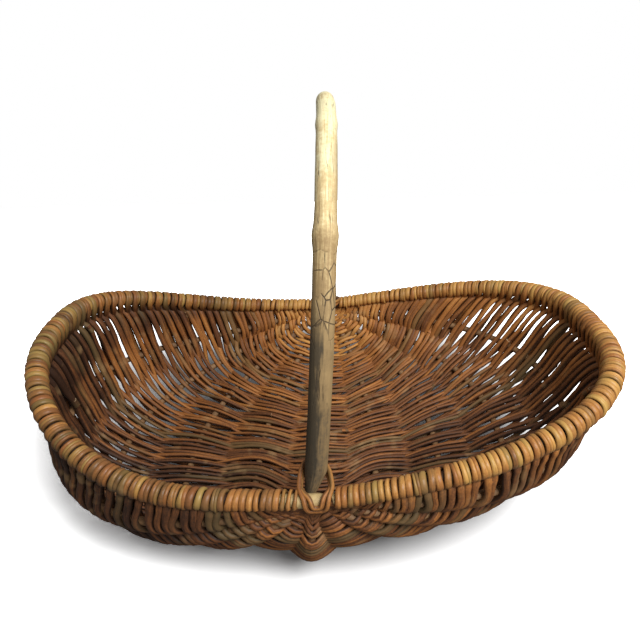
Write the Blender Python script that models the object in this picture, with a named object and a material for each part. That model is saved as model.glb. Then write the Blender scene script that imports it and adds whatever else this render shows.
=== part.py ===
"""Gathering basket: a frame basket of willow with nine ribs, a wrapped rim and a bow handle.

Metres, +Z up. X runs along the basket and Y across it, from the front ear to the rear ear.
An ear is where the ribs meet under the rim, at the foot of the handle.

Stations are angles along the bowl, 0 at the front ear and pi at the rear ear. At a station the
bowl's cross section hangs from the rim on the left to the rim on the right, over nine ribs.
The weave is held as eight bands. Each has a tunnel for every rib, and an eye round the rim rod
at both edges, as the strands that make it pass inside and outside the ribs and turn round the rod.
"""
import math

import bmesh
import bpy
from mathutils import Vector

# Driving dimensions of the rim, in metres
HALF_LENGTH = 0.298
HALF_WIDTH = 0.205
LEFT_RISE = 0.081
RIGHT_RISE = 0.0715
RIM_ROD_DIAMETER = 0.013
ROD_JOIN_X = -0.004
ROD_JOIN_GAP = 0.0006

# Driving dimensions of the bowl
BOWL_DEPTH = 0.119
KEEL_SWAY = 0.008
RIB_DIAMETER = 0.008
STRAND_DIAMETER = 0.0045
BAY_HALF_THICKNESS = 0.0055
RIB_CELL_MARGIN = 0.004
WORN_FLAT_DEPTH = 0.0018

# Driving dimensions of the handle
HANDLE_HEIGHT = 0.3075
HANDLE_DIAMETER = 0.0178
FOOT_DIAMETER = 0.020
FOOT_TIP_DIAMETER = 0.010
FOOT_TIP_LENGTH = 0.022
FOOT_DROP = 0.004
FRONT_FOOT_X = -0.0135
REAR_FOOT_X = 0.0125
HANDLE_TOP_X = 0.0067
KNOT_SWELL = 0.0016

# Driving dimensions of the lashings that tie the handle to the rim rod
LASHING_DIAMETER = 0.004
LASHING_PITCH = 0.0052
LASHING_HEIGHT = 0.011

# Fits
CLEARANCE = 0.0003
BAND_GAP = 0.0008
FRONT_EAR_MARGIN = 0.0177
REAR_EAR_MARGIN = 0.0022

# Shape of the rim: exponents of its outline and of its rise towards the ends
FRONT_OUTLINE_EXPONENT = 2.91
REAR_OUTLINE_EXPONENT = 2.25
FRONT_LEFT_RISE_EXPONENT = 4.0
FRONT_RIGHT_RISE_EXPONENT = 1.25
REAR_LEFT_RISE_EXPONENT = 2.25
REAR_RIGHT_RISE_EXPONENT = 1.45

# Shape of the bowl: exponents of the keel's run, of the floor beside it and of the cross section
FRONT_KEEL_EXPONENT = 3.6
FRONT_FLOOR_EXPONENT = 2.6
REAR_KEEL_EXPONENT = 2.4
EAR_SECTION_EXPONENT = 1.6
LEFT_SECTION_EXPONENT = 4.8
RIGHT_SECTION_EXPONENT = 2.15

# Shape of the handle: exponents of its bow and of its lean towards the top
HANDLE_EXPONENT = 2.4
HANDLE_LEAN_EXPONENT = 0.8

# Places of the ribs, as shares of the way from the rim's eye down to the keel
RIB_SHARES = (0.21, 0.42, 0.62, 0.82)

# Bands of weave, and the stations where they meet. No rib runs through an ear's band.
EAR_BANDS = ("front_ear_weave", "rear_ear_weave")
RIBBED_BANDS = (
    "front_fan_weave", "front_quarter_weave", "front_side_weave",
    "rear_side_weave", "rear_quarter_weave", "rear_fan_weave",
)
BORDER_SHARES = (0.07, 0.20, 0.35, 0.50, 0.65, 0.80, 0.925)
EAR_ROD_SHARES = (0.002, 0.008)

# Handle: places of its knots as shares of its run, with their swell as a share of KNOT_SWELL
KNOT_SHARES = ((0.235, 1.0), (0.40, 0.55), (0.66, 0.8))
KNOT_REACH_SHARE = 0.018
HANDLE_STATION_SHARES = (
    0.05, 0.10, 0.15, 0.19, 0.217, 0.235, 0.253, 0.29, 0.34, 0.382, 0.40, 0.418,
    0.46, 0.50, 0.54, 0.58, 0.62, 0.642, 0.66, 0.678, 0.71, 0.76, 0.81, 0.85, 0.90, 0.95,
)

# Counts
BAND_STEP_COUNTS = (2, 3, 3, 3, 3, 3, 3, 2)
SECTION_SAMPLES = 48
HANDLE_SIDES = 12
LASHING_TURNS = 2
LASHING_TURN_POINTS = 24
EYE_ANGLES = tuple(math.radians(a) for a in (30, 80, 130, 180, 230, 280, 330))
RIB_ANGLES = tuple(math.radians(a) for a in (22.5, 67.5, 112.5, 157.5, 202.5, 247.5, 292.5, 337.5))
LASHING_FRONT_ANGLE = math.radians(75)
LASHING_CORNER_EXPONENT = 0.45
TANGENT_STEP = 1e-4
CELL_ROOM_SHARE = 0.42
RIDGE_HALF_SHARE = 0.45

RIM_ROD_RADIUS = RIM_ROD_DIAMETER / 2
RIB_RADIUS = RIB_DIAMETER / 2
RIM_RADIUS = RIM_ROD_RADIUS + STRAND_DIAMETER
RIDGE_HALF_THICKNESS = RIB_RADIUS + STRAND_DIAMETER
CELL_HALF_WIDTH = RIB_RADIUS + RIB_CELL_MARGIN
LIFT = BOWL_DEPTH + RIDGE_HALF_THICKNESS - WORN_FLAT_DEPTH
KEEL = len(RIB_SHARES) + 1
RIGHT_RIM = 2 * KEEL

# Colours as linear RGB, with roughness
MATERIALS = {
    "weave": ((0.16, 0.065, 0.025), 0.6),
    "rib": ((0.22, 0.13, 0.06), 0.7),
    "rim_rod": ((0.50, 0.36, 0.18), 0.6),
    "handle": ((0.42, 0.31, 0.16), 0.75),
    "lashing": ((0.30, 0.11, 0.035), 0.6),
}


def signed_power(value, exponent):
    """Power of a value that keeps its sign."""
    return math.copysign(abs(value) ** exponent, value)


def rim_height(out, side, front):
    """Height of the rim rod over its ears, at a share of the way out to the left or right end."""
    if side < 0:
        return LEFT_RISE * out ** (FRONT_LEFT_RISE_EXPONENT if front else REAR_LEFT_RISE_EXPONENT)
    return RIGHT_RISE * out ** (FRONT_RIGHT_RISE_EXPONENT if front else REAR_RIGHT_RISE_EXPONENT)


def rim_reach(side):
    """Way from the rod's join to its left or right end."""
    return HALF_LENGTH - side * ROD_JOIN_X


def rim_point(angle, side):
    """Middle of the rim rod at a station, on the left (-1) or the right (+1), ears at height 0."""
    front = math.cos(angle) > 0
    outline = FRONT_OUTLINE_EXPONENT if front else REAR_OUTLINE_EXPONENT
    out = abs(math.sin(angle)) ** (2 / outline)
    y = -HALF_WIDTH * signed_power(math.cos(angle), 2 / outline)
    return Vector((ROD_JOIN_X + side * rim_reach(side) * out, y, rim_height(out, side, front)))


def lowest_point(angle, front_exponent):
    """Point of the line along the bowl's bottom at a station, with an exponent for its front half."""
    exponent = front_exponent if math.cos(angle) > 0 else REAR_KEEL_EXPONENT
    across = -signed_power(math.cos(angle), 2 / exponent)
    down = abs(math.sin(angle)) ** (2 / exponent)
    x = FRONT_FOOT_X + (REAR_FOOT_X - FRONT_FOOT_X) * (across + 1) / 2 - KEEL_SWAY * down
    return Vector((x, HALF_WIDTH * across, -BOWL_DEPTH * down))


def keel_point(angle):
    """Middle of the keel rib at a station: it stands out like a prow under the front ear."""
    return lowest_point(angle, FRONT_KEEL_EXPONENT)


def section_point(angle, side, fall):
    """Point of the bowl between rim (fall 0) and keel (fall pi/2) at a station."""
    middle = LEFT_SECTION_EXPONENT if side < 0 else RIGHT_SECTION_EXPONENT
    exponent = EAR_SECTION_EXPONENT + (middle - EAR_SECTION_EXPONENT) * abs(math.sin(angle))
    out = abs(math.cos(fall)) ** (2 / exponent)
    down = abs(math.sin(fall)) ** (2 / exponent)
    rim = rim_point(angle, side)
    low = lowest_point(angle, FRONT_FLOOR_EXPONENT)
    x = low.x + (rim.x - low.x) * out
    return Vector((x, rim.y + (low.y - rim.y) * down, rim.z + (low.z - rim.z) * down))


def rib_points(angle, side):
    """Middles of the ribs of one side at a station, from the rim towards the keel."""
    steps = [i / SECTION_SAMPLES * math.pi / 2 for i in range(SECTION_SAMPLES + 1)]
    curve = [section_point(angle, side, fall) for fall in steps]
    run = [0.0]
    for start, end in zip(curve, curve[1:]):
        run.append(run[-1] + (end - start).length)
    points = []
    for share in RIB_SHARES:
        wanted = RIM_RADIUS + share * (run[-1] - RIM_RADIUS)
        i = next(k for k in range(1, len(run)) if run[k] >= wanted)
        part = (wanted - run[i - 1]) / (run[i] - run[i - 1])
        points.append(curve[i - 1].lerp(curve[i], part))
    return points


def frame_points(angle):
    """Middles of the left rim, the nine ribs and the right rim at a station, left to right."""
    left = rib_points(angle, -1)
    right = rib_points(angle, 1)
    return [rim_point(angle, -1), *left, keel_point(angle), *reversed(right), rim_point(angle, 1)]


def frames(angle):
    """Middle, direction across and outward normal of each rod at a station.

    A rib is cut along the section, so where it crosses askew its direction across is longer than 1.
    """
    here = frame_points(angle)
    before = frame_points(angle - TANGENT_STEP)
    after = frame_points(angle + TANGENT_STEP)
    result = []
    for i, middle in enumerate(here):
        tangent = (after[i] - before[i]).normalized()
        across = (here[min(i + 1, RIGHT_RIM)] - here[max(i - 1, 0)]).normalized()
        square = across - tangent * across.dot(tangent)
        outward = tangent.cross(square).normalized()
        across = square.normalized() if i in (0, RIGHT_RIM) else across / square.length
        result.append((middle, across, outward))
    return result


def ring(middle, across, outward, radius, angles):
    """Points round a middle, with angle 0 across and a quarter turn outward."""
    return [middle + across * (radius * math.cos(a)) + outward * (radius * math.sin(a)) for a in angles]


def stand(points):
    """Points raised so that the worn flat under the bowl lies at height 0, and cut level there."""
    return [Vector((p.x, p.y, max(p.z + LIFT, 0.0))) for p in points]


def cell_corners(rods, i):
    """Eight corners of the weave round a rib: four outside from right to left, four inside back."""
    middle, across, outward = rods[i]
    room = min((rods[i + 1][0] - middle).length, (rods[i - 1][0] - middle).length)
    half = min(CELL_HALF_WIDTH, CELL_ROOM_SHARE * room / across.length)
    scale = half / CELL_HALF_WIDTH
    ridge = half * RIDGE_HALF_SHARE
    thick = RIDGE_HALF_THICKNESS * max(scale, BAY_HALF_THICKNESS / RIDGE_HALF_THICKNESS)
    outline = (
        (half, BAY_HALF_THICKNESS), (ridge, thick), (-ridge, thick), (-half, BAY_HALF_THICKNESS),
        (-half, -BAY_HALF_THICKNESS), (-ridge, -thick), (ridge, -thick), (half, -BAY_HALF_THICKNESS),
    )
    return [middle + across * a + outward * b for a, b in outline]


def weave_section(angle, ribbed):
    """Points of a band's cross section: two eyes with their bores, and the cells of the ribs."""
    rods = frames(angle)
    points = []
    for i in (0, RIGHT_RIM):
        middle, across, outward = rods[i]
        inward = across if i == 0 else -across
        points += ring(middle, inward, outward, RIM_RADIUS, EYE_ANGLES)
        points += ring(middle, inward, outward, RIM_ROD_RADIUS + CLEARANCE, EYE_ANGLES)
    for i in range(1, RIGHT_RIM):
        points += cell_corners(rods, i)
        if ribbed:
            points += ring(*rods[i], RIB_RADIUS + CLEARANCE, RIB_ANGLES)
    return stand(points)


def strip_faces(first, second, count):
    """Triangles between two closed rows of points."""
    faces = []
    for k in range(count):
        n = (k + 1) % count
        faces.append((first + k, first + n, second + n))
        faces.append((first + k, second + n, second + k))
    return faces


def weave_faces(ribbed):
    """Triangles that fill a band's cross section, the same at each station."""
    eye = len(EYE_ANGLES)
    cell = len(RIB_ANGLES)
    stride = cell * (2 if ribbed else 1)
    cells = [4 * eye + stride * i for i in range(RIGHT_RIM - 1)]
    faces = strip_faces(0, eye, eye) + [f[::-1] for f in strip_faces(2 * eye, 3 * eye, eye)]
    for start in cells:
        if ribbed:
            faces += [f[::-1] for f in strip_faces(start, start + cell, cell)]
        else:
            faces += [(start, start + k + 1, start + k) for k in range(1, cell - 1)]
    sides = [(0, eye - 1)] + [(start, start + cell - 1) for start in cells]
    nexts = [(start + 3, start + 4) for start in cells] + [(2 * eye, 3 * eye - 1)]
    for (outer, inner), (next_outer, next_inner) in zip(sides, nexts):
        faces.append((outer, next_outer, next_inner))
        faces.append((outer, next_inner, inner))
    return faces


def moved_end(points, neighbours, distance):
    """End section drawn back towards its neighbour along the lines between them."""
    return [p + (q - p).normalized() * distance if (q - p).length > distance else p.copy()
            for p, q in zip(points, neighbours)]


def loft(name, sections, faces, material):
    """Closed body from a section's faces, extruded from each section to the next."""
    mesh = bpy.data.meshes.new(name)
    bm = bmesh.new()
    order = bm.verts.layers.int.new("order")
    verts = [bm.verts.new(p) for p in sections[0]]
    for i, vert in enumerate(verts):
        vert[order] = i
    front = [bm.faces.new([verts[i] for i in face]) for face in faces]
    for i, section in enumerate(sections[1:]):
        behind = front
        made = bmesh.ops.extrude_face_region(bm, geom=behind)["geom"]
        front = [g for g in made if isinstance(g, bmesh.types.BMFace)]
        for vert in {v for face in front for v in face.verts}:
            vert.co = section[vert[order]]
        if i > 0:
            bmesh.ops.delete(bm, geom=behind, context="FACES")
    bmesh.ops.recalc_face_normals(bm, faces=bm.faces)
    bm.to_mesh(mesh)
    bm.free()
    mesh.materials.append(material)
    body = bpy.data.objects.new(name, mesh)
    bpy.context.scene.collection.objects.link(body)
    return body


def make_material(name):
    """Principled material from the table of colours."""
    colour, roughness = MATERIALS[name]
    material = bpy.data.materials.new(name)
    material.use_nodes = True
    shader = material.node_tree.nodes["Principled BSDF"]
    shader.inputs["Base Color"].default_value = (*colour, 1.0)
    shader.inputs["Roughness"].default_value = roughness
    return material


def leg_x(end, height):
    """X of the handle's front (-1) or rear (+1) leg at a height over its tip: both lean to the top's X."""
    foot_x = FRONT_FOOT_X if end < 0 else REAR_FOOT_X
    share = height / (HANDLE_HEIGHT + FOOT_DROP)
    return foot_x + (HANDLE_TOP_X - foot_x) * share ** HANDLE_LEAN_EXPONENT


def lashing_reach(end, side):
    """Way from the rod's join to a lashing's outermost loop on the left (-1) or the right (+1)."""
    last_turn = LASHING_TURNS - (0.75 if side > 0 else 0.25)
    out = FOOT_DIAMETER / 2 + CLEARANCE + LASHING_DIAMETER + LASHING_PITCH * last_turn
    return abs(leg_x(end, FOOT_TIP_LENGTH) + side * out - ROD_JOIN_X)


def ear_angle(end):
    """Station where an ear's band starts, beside the lashing of the front (-1) or the rear (+1)."""
    exponent = FRONT_OUTLINE_EXPONENT if end < 0 else REAR_OUTLINE_EXPONENT
    margin = FRONT_EAR_MARGIN if end < 0 else REAR_EAR_MARGIN
    out = max((lashing_reach(end, side) + margin) / rim_reach(side) for side in (-1, 1))
    angle = math.asin(out ** (exponent / 2))
    return angle if end < 0 else math.pi - angle


def band_angles():
    """Station angles of each band by its name, evenly stepped from border to border."""
    names = [EAR_BANDS[0], *RIBBED_BANDS, EAR_BANDS[1]]
    borders = [ear_angle(-1), *(math.pi * share for share in BORDER_SHARES), ear_angle(1)]
    return {name: [first + (last - first) * i / steps for i in range(steps + 1)]
            for name, steps, first, last in zip(names, BAND_STEP_COUNTS, borders, borders[1:])}


def make_weave(material):
    """The eight bands of weave, threaded on the ribs and the rim rod."""
    for name, angles in band_angles().items():
        ribbed = name in RIBBED_BANDS
        sections = [weave_section(angle, ribbed) for angle in angles]
        start = moved_end(sections[0], sections[1], BAND_GAP / 2)
        end = moved_end(sections[-1], sections[-2], BAND_GAP / 2)
        loft(name, [start, *sections[1:-1], end], weave_faces(ribbed), material)


def rod_name(i):
    """Node name of a rib, numbered from the rim."""
    if i == KEEL:
        return "keel_rib"
    return f"rib_left_{i}" if i < KEEL else f"rib_right_{RIGHT_RIM - i}"


def make_ribs(material):
    """The keel rib and four ribs on each side, between the two ear bands."""
    bands = band_angles()
    angles = sorted({angle for name in RIBBED_BANDS for angle in bands[name]})
    stations = [frames(angle) for angle in angles]
    face = [tuple(range(len(RIB_ANGLES)))]
    for i in range(1, RIGHT_RIM):
        sections = [stand(ring(*rods[i], RIB_RADIUS, RIB_ANGLES)) for rods in stations]
        start = moved_end(sections[0], sections[1], BAND_GAP / 2)
        end = moved_end(sections[-1], sections[-2], BAND_GAP / 2)
        loft(rod_name(i), [start, *sections[1:-1], end], face, material)


def rim_rod_section(angle, side):
    """Section of the rim rod at a station, lined up with the eyes of the weave."""
    if ear_angle(-1) <= angle <= ear_angle(1):
        middle, across, outward = frames(angle)[0 if side < 0 else RIGHT_RIM]
        inward = across if side < 0 else -across
    else:
        middle = rim_point(angle, side)
        inward = Vector((0.0, 0.0, -1.0))
        outward = Vector((0.0, math.copysign(1.0, middle.y), 0.0))
    return stand(ring(middle, inward, outward, RIM_ROD_RADIUS, EYE_ANGLES))


def make_rim_rod(material):
    """The rim rod, bent round from the front ear to meet itself there."""
    angles = {angle for band in band_angles().values() for angle in band}
    angles |= {math.pi * share for share in EAR_ROD_SHARES}
    angles = sorted(angles | {math.pi * (1 - EAR_ROD_SHARES[1])})
    right = [rim_rod_section(angle, 1) for angle in angles]
    left = [rim_rod_section(angle, -1) for angle in reversed(angles)]
    half_gap = Vector((ROD_JOIN_GAP / 2, 0.0, 0.0))
    join = rim_rod_section(0.0, 1)
    sections = [[p + half_gap for p in join], *right, *left, [p - half_gap for p in join]]
    loft("rim_rod", sections, [tuple(range(len(EYE_ANGLES)))], material)


def foot_y():
    """Distance of a handle foot's middle from the basket's middle, inside the rim rod."""
    return HALF_WIDTH - RIM_ROD_RADIUS - CLEARANCE - FOOT_DIAMETER / 2


def handle_point(share):
    """Middle of the handle at a share of its run, from the front foot to the rear foot."""
    angle = math.pi * share
    across = -signed_power(math.cos(angle), 2 / HANDLE_EXPONENT)
    height = (HANDLE_HEIGHT + FOOT_DROP) * abs(math.sin(angle)) ** (2 / HANDLE_EXPONENT)
    return Vector((leg_x(across, height), foot_y() * across, height - FOOT_DROP))


def handle_radius(share):
    """Radius of the handle, thicker towards the feet and swollen at its knots."""
    towards_foot = abs(math.cos(math.pi * share))
    radius = (HANDLE_DIAMETER + (FOOT_DIAMETER - HANDLE_DIAMETER) * towards_foot ** 2) / 2
    for place, swell in KNOT_SHARES:
        away = abs(share - place) / KNOT_REACH_SHARE
        radius += KNOT_SWELL * swell * max(0.0, 1 - away)
    return radius


def handle_section(middle, along, radius):
    """Round section of the handle, square to its run."""
    side = Vector((1.0, 0.0, 0.0))
    side = (side - along * side.dot(along)).normalized()
    turns = [2 * math.pi * i / HANDLE_SIDES for i in range(HANDLE_SIDES)]
    return ring(middle, side, along.cross(side), radius, turns)


def foot_sections(end):
    """Sections of a whittled foot tip at the front (-1) or the rear (+1), from the tip upwards."""
    up = Vector((0.0, 0.0, 1.0))
    sections = []
    for height, diameter in ((0.0, FOOT_TIP_DIAMETER), (FOOT_TIP_LENGTH, FOOT_DIAMETER)):
        y = end * (foot_y() + (FOOT_DIAMETER - diameter) / 2)
        middle = Vector((leg_x(end, height), y, height - FOOT_DROP))
        sections.append(handle_section(middle, up if end < 0 else -up, diameter / 2))
    return sections


def make_handle(material):
    """The bow handle, one bent branch whose feet stand inside the rim rod."""
    sections = foot_sections(-1)
    for share in HANDLE_STATION_SHARES:
        along = (handle_point(share + TANGENT_STEP) - handle_point(share - TANGENT_STEP)).normalized()
        sections.append(handle_section(handle_point(share), along, handle_radius(share)))
    sections += reversed(foot_sections(1))
    sections = [[p + Vector((0.0, 0.0, LIFT)) for p in section] for section in sections]
    handle = loft("handle_bow", sections, [tuple(range(HANDLE_SIDES))], material)
    handle.data.shade_smooth()
    handle.data.set_sharp_from_angle(angle=math.radians(50))


def lashing_point(end, turn):
    """Point of a lashing's middle line: turn counts loops from behind the foot, over the rod and back."""
    radius = LASHING_DIAMETER / 2
    spread = LASHING_PITCH * turn
    angle = 2 * math.pi * turn
    reach = FOOT_DIAMETER / 2 + CLEARANCE + radius + spread
    x = leg_x(end, FOOT_TIP_LENGTH) + reach * signed_power(math.sin(angle), LASHING_CORNER_EXPONENT)
    away = (1 - math.cos(angle)) / 2
    around_rod = RIM_ROD_RADIUS + CLEARANCE + radius
    behind_y = HALF_WIDTH - RIM_ROD_RADIUS - FOOT_DIAMETER - 2 * CLEARANCE - radius
    if away < 0.5:
        part = away * 2
        y = behind_y + (HALF_WIDTH - behind_y) * part
        z = LASHING_HEIGHT + spread + (around_rod - LASHING_HEIGHT - spread) * part
    else:
        last = LASHING_FRONT_ANGLE + spread / around_rod
        bend = last * (away - 0.5) * 2
        y = HALF_WIDTH + around_rod * math.sin(bend)
        z = around_rod * math.cos(bend)
    side = math.copysign(1.0, x - ROD_JOIN_X)
    z += rim_height(abs(x - ROD_JOIN_X) / rim_reach(side), side, end < 0)
    return Vector((x, end * y, z + LIFT))


def make_lashing(name, end, material):
    """Lashing of one strand wound round a handle foot and the rim rod."""
    curve = bpy.data.curves.new(name, "CURVE")
    curve.dimensions = "3D"
    curve.bevel_depth = LASHING_DIAMETER / 2
    curve.bevel_resolution = 1
    curve.use_fill_caps = True
    count = LASHING_TURNS * LASHING_TURN_POINTS
    spline = curve.splines.new("POLY")
    spline.points.add(count)
    for i, point in enumerate(spline.points):
        point.co = (*lashing_point(end, i / LASHING_TURN_POINTS), 1.0)
    body = bpy.data.objects.new(name, curve)
    curve.materials.append(material)
    bpy.context.scene.collection.objects.link(body)


def print_lashing_gap(name, end):
    """Print the least gap between a lashing's loops, measured a loop apart on its points."""
    count = LASHING_TURNS * LASHING_TURN_POINTS
    points = [lashing_point(end, i / LASHING_TURN_POINTS) for i in range(count + 1)]
    half = LASHING_TURN_POINTS // 2
    least = min((points[i] - points[k]).length
                for i in range(len(points)) for k in range(i + half, len(points)))
    print(f"{name}: least gap to itself {1000 * (least - LASHING_DIAMETER):.2f} mm")


def main():
    """Build every piece of the basket."""
    for old in list(bpy.data.objects):
        bpy.data.objects.remove(old, do_unlink=True)
    materials = {name: make_material(name) for name in MATERIALS}
    make_weave(materials["weave"])
    make_ribs(materials["rib"])
    make_rim_rod(materials["rim_rod"])
    make_handle(materials["handle"])
    for name, end in (("front_lashing", -1), ("rear_lashing", 1)):
        make_lashing(name, end, materials["lashing"])
        print_lashing_gap(name, end)


main()
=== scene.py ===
"""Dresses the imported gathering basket: willow woven over nine ribs, a wrapped rim and a bent branch."""

import logging
import math
import random
from dataclasses import dataclass, field
from enum import Enum

import bmesh
import bpy
import numpy as np
from mathutils import Matrix, Vector


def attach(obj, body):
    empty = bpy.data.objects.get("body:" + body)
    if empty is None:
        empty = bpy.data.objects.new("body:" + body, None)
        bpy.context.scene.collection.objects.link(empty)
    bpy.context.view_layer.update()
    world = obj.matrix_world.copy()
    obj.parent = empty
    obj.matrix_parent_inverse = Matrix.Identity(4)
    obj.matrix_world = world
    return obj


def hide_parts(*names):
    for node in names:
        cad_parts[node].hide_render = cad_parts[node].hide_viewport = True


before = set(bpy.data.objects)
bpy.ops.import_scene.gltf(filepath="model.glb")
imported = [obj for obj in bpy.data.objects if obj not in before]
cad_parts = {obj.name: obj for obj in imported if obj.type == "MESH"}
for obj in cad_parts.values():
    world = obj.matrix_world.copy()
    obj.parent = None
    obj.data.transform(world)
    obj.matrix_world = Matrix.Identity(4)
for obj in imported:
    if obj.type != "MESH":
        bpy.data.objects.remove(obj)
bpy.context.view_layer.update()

Array = np.ndarray
Numbers = np.ndarray | float
Colour = tuple[float, float, float]
Point = tuple[float, float, float]
Material = bpy.types.Material
Socket = bpy.types.NodeSocket
Value = bpy.types.NodeSocket | float

LOG = logging.getLogger("basket")
CUT = 1
BARK_MARKS = ("tone", "along", "wrap", "tint", "across", "depth")
BANDS = ("front_ear_weave", "front_fan_weave", "front_quarter_weave", "front_side_weave",
         "rear_side_weave", "rear_quarter_weave", "rear_fan_weave", "rear_ear_weave")
WORK_SEED = 41
LEAST_LENGTH = 1e-12
WAVE_STRETCH = (0.8, 1.25)
WAVE_PHASE = (0, 6.3)


class End(Enum):
    """An ear of the basket, with the sign of its Y."""

    FRONT = -1
    REAR = 1


def signed_power(value: float, exponent: float) -> float:
    """Power of a value that keeps its sign."""
    return math.copysign(abs(value) ** exponent, value)


def ease(share: Numbers) -> Numbers:
    """Smooth step of a share held between 0 and 1."""
    held = np.clip(share, 0.0, 1.0)
    return held * held * (3 - 2 * held)


def rise(values: Numbers, start: float, width: float) -> Numbers:
    """Smooth step of values from a start over a width, which is negative where they fall."""
    return ease((values - start) / width)


def curve_weights(t: float) -> tuple[float, float, float, float]:
    """Weights of a smooth curve's start, end, first run and last run at a share of its way."""
    return 2 * t ** 3 - 3 * t * t + 1, 3 * t * t - 2 * t ** 3, t ** 3 - 2 * t * t + t, t ** 3 - t * t


def unit(vectors: Array) -> Array:
    """Vectors scaled to length 1."""
    return vectors / np.maximum(np.linalg.norm(vectors, axis=-1, keepdims=True), LEAST_LENGTH)


@dataclass(frozen=True)
class BasketShape:
    """Lines that the basket is built on, in metres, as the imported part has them.

    A station is an angle along the bowl, 0 at the front ear and pi at the rear ear. A bend is the
    exponent of a curve, 2 for a round one and more for a squarer one. Powers are for front and rear.
    """

    half_length: float = 0.298
    half_width: float = 0.205
    left_rise: float = 0.081
    right_rise: float = 0.0715
    left_powers: tuple[float, float] = (4.0, 2.25)
    right_powers: tuple[float, float] = (1.25, 1.45)
    front_rim_bend: float = 2.91
    rear_rim_bend: float = 2.25
    rod_join_x: float = -0.004
    bowl_depth: float = 0.119
    bowl_front_bend: float = 2.6
    keel_front_bend: float = 3.6
    bottom_rear_bend: float = 2.4
    ear_bend: float = 1.6
    left_wall_bend: float = 4.8
    right_wall_bend: float = 2.15
    section_steps: int = 48
    keel_sway: float = 0.008
    front_foot_x: float = -0.0135
    rear_foot_x: float = 0.0125
    handle_top_x: float = 0.0067
    handle_height: float = 0.3075
    handle_bend: float = 2.4
    leg_power: float = 0.8
    foot_drop: float = 0.004
    foot_diameter: float = 0.020
    foot_tip_length: float = 0.022
    rim_rod_radius: float = 0.0065
    rib_radius: float = 0.004
    strand_diameter: float = 0.0045
    worn_flat_depth: float = 0.0018
    clearance: float = 0.0003
    lashing_diameter: float = 0.004
    lashing_pitch: float = 0.0052
    lashing_height: float = 0.011
    lashing_corner: float = 0.45
    lashing_front_angle: float = math.radians(75)
    rib_shares: tuple[float, ...] = (0.21, 0.42, 0.62, 0.82)
    border_shares: tuple[float, ...] = (0.07, 0.20, 0.35, 0.50, 0.65, 0.80, 0.925)

    @property
    def lift(self) -> float:
        """Height of the ears over the floor."""
        return self.bowl_depth + self.rib_radius + self.strand_diameter - self.worn_flat_depth

    def rim_reach(self, side: int) -> float:
        """Way from the rod's join to the left (-1) or right (1) end of the rim."""
        return self.half_length - side * self.rod_join_x

    def rim_height(self, out: float, side: int, front: bool) -> float:
        """Height of the rim rod over the ears.

        Args:
            out: share of the way out to the left or right end.
            side: -1 on the left, 1 on the right.
            front: whether the place is on the front half.

        Returns:
            The height in metres.
        """
        left = (self.left_rise, *self.left_powers)
        right = (self.right_rise, *self.right_powers)
        height, front_power, rear_power = left if side < 0 else right
        return height * out ** (front_power if front else rear_power)

    def rim_point(self, angle: float, side: int) -> Vector:
        """Middle of the rim rod.

        Args:
            angle: station along the bowl.
            side: -1 on the left, 1 on the right.

        Returns:
            The point over the ears' height.
        """
        front = math.cos(angle) > 0
        bend = self.front_rim_bend if front else self.rear_rim_bend
        out = abs(math.sin(angle)) ** (2 / bend)
        x = self.rod_join_x + side * self.rim_reach(side) * out
        y = -self.half_width * signed_power(math.cos(angle), 2 / bend)
        return Vector((x, y, self.rim_height(out, side, front)))

    def lowest_point(self, angle: float, front_bend: float) -> Vector:
        """Point along the bowl's bottom.

        Args:
            angle: station along the bowl.
            front_bend: bend of the bottom's front half.

        Returns:
            The point over the ears' height.
        """
        bend = front_bend if math.cos(angle) > 0 else self.bottom_rear_bend
        across = -signed_power(math.cos(angle), 2 / bend)
        down = abs(math.sin(angle)) ** (2 / bend)
        foot = self.front_foot_x + (self.rear_foot_x - self.front_foot_x) * (across + 1) / 2
        return Vector((foot - self.keel_sway * down, self.half_width * across, -self.bowl_depth * down))

    def section_point(self, angle: float, side: int, fall: float) -> Vector:
        """Point of the bowl between the rim and the keel.

        Args:
            angle: station along the bowl.
            side: -1 on the left, 1 on the right.
            fall: angle down the section, 0 at the rim and a quarter turn at the keel.

        Returns:
            The point over the ears' height.
        """
        wall_bend = self.left_wall_bend if side < 0 else self.right_wall_bend
        bend = self.ear_bend + (wall_bend - self.ear_bend) * abs(math.sin(angle))
        out = abs(math.cos(fall)) ** (2 / bend)
        down = abs(math.sin(fall)) ** (2 / bend)
        rim = self.rim_point(angle, side)
        low = self.lowest_point(angle, self.bowl_front_bend)
        x = low.x + (rim.x - low.x) * out
        return Vector((x, rim.y + (low.y - rim.y) * down, rim.z + (low.z - rim.z) * down))

    def rib_middles(self, angle: float, side: int) -> list[Vector]:
        """Middles of one side's four ribs at a station, from the rim towards the keel."""
        steps = self.section_steps
        curve = [self.section_point(angle, side, i / steps * math.pi / 2) for i in range(steps + 1)]
        run = [0.0]
        for start, end in zip(curve, curve[1:]):
            run.append(run[-1] + (end - start).length)
        eye = self.rim_rod_radius + self.strand_diameter
        middles = []
        for share in self.rib_shares:
            wanted = min(eye + share * (run[-1] - eye), run[-1])
            i = next((k for k in range(1, len(run)) if run[k] >= wanted), len(run) - 1)
            part = (wanted - run[i - 1]) / max(run[i] - run[i - 1], LEAST_LENGTH)
            middles.append(curve[i - 1].lerp(curve[i], part))
        return middles

    def rod_middles(self, angle: float) -> list[Vector]:
        """Middles of the left rim, the nine ribs and the right rim at a station, left to right."""
        left = self.rib_middles(angle, -1)
        right = self.rib_middles(angle, 1)
        keel = self.lowest_point(angle, self.keel_front_bend)
        return [self.rim_point(angle, -1), *left, keel, *reversed(right), self.rim_point(angle, 1)]

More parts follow.
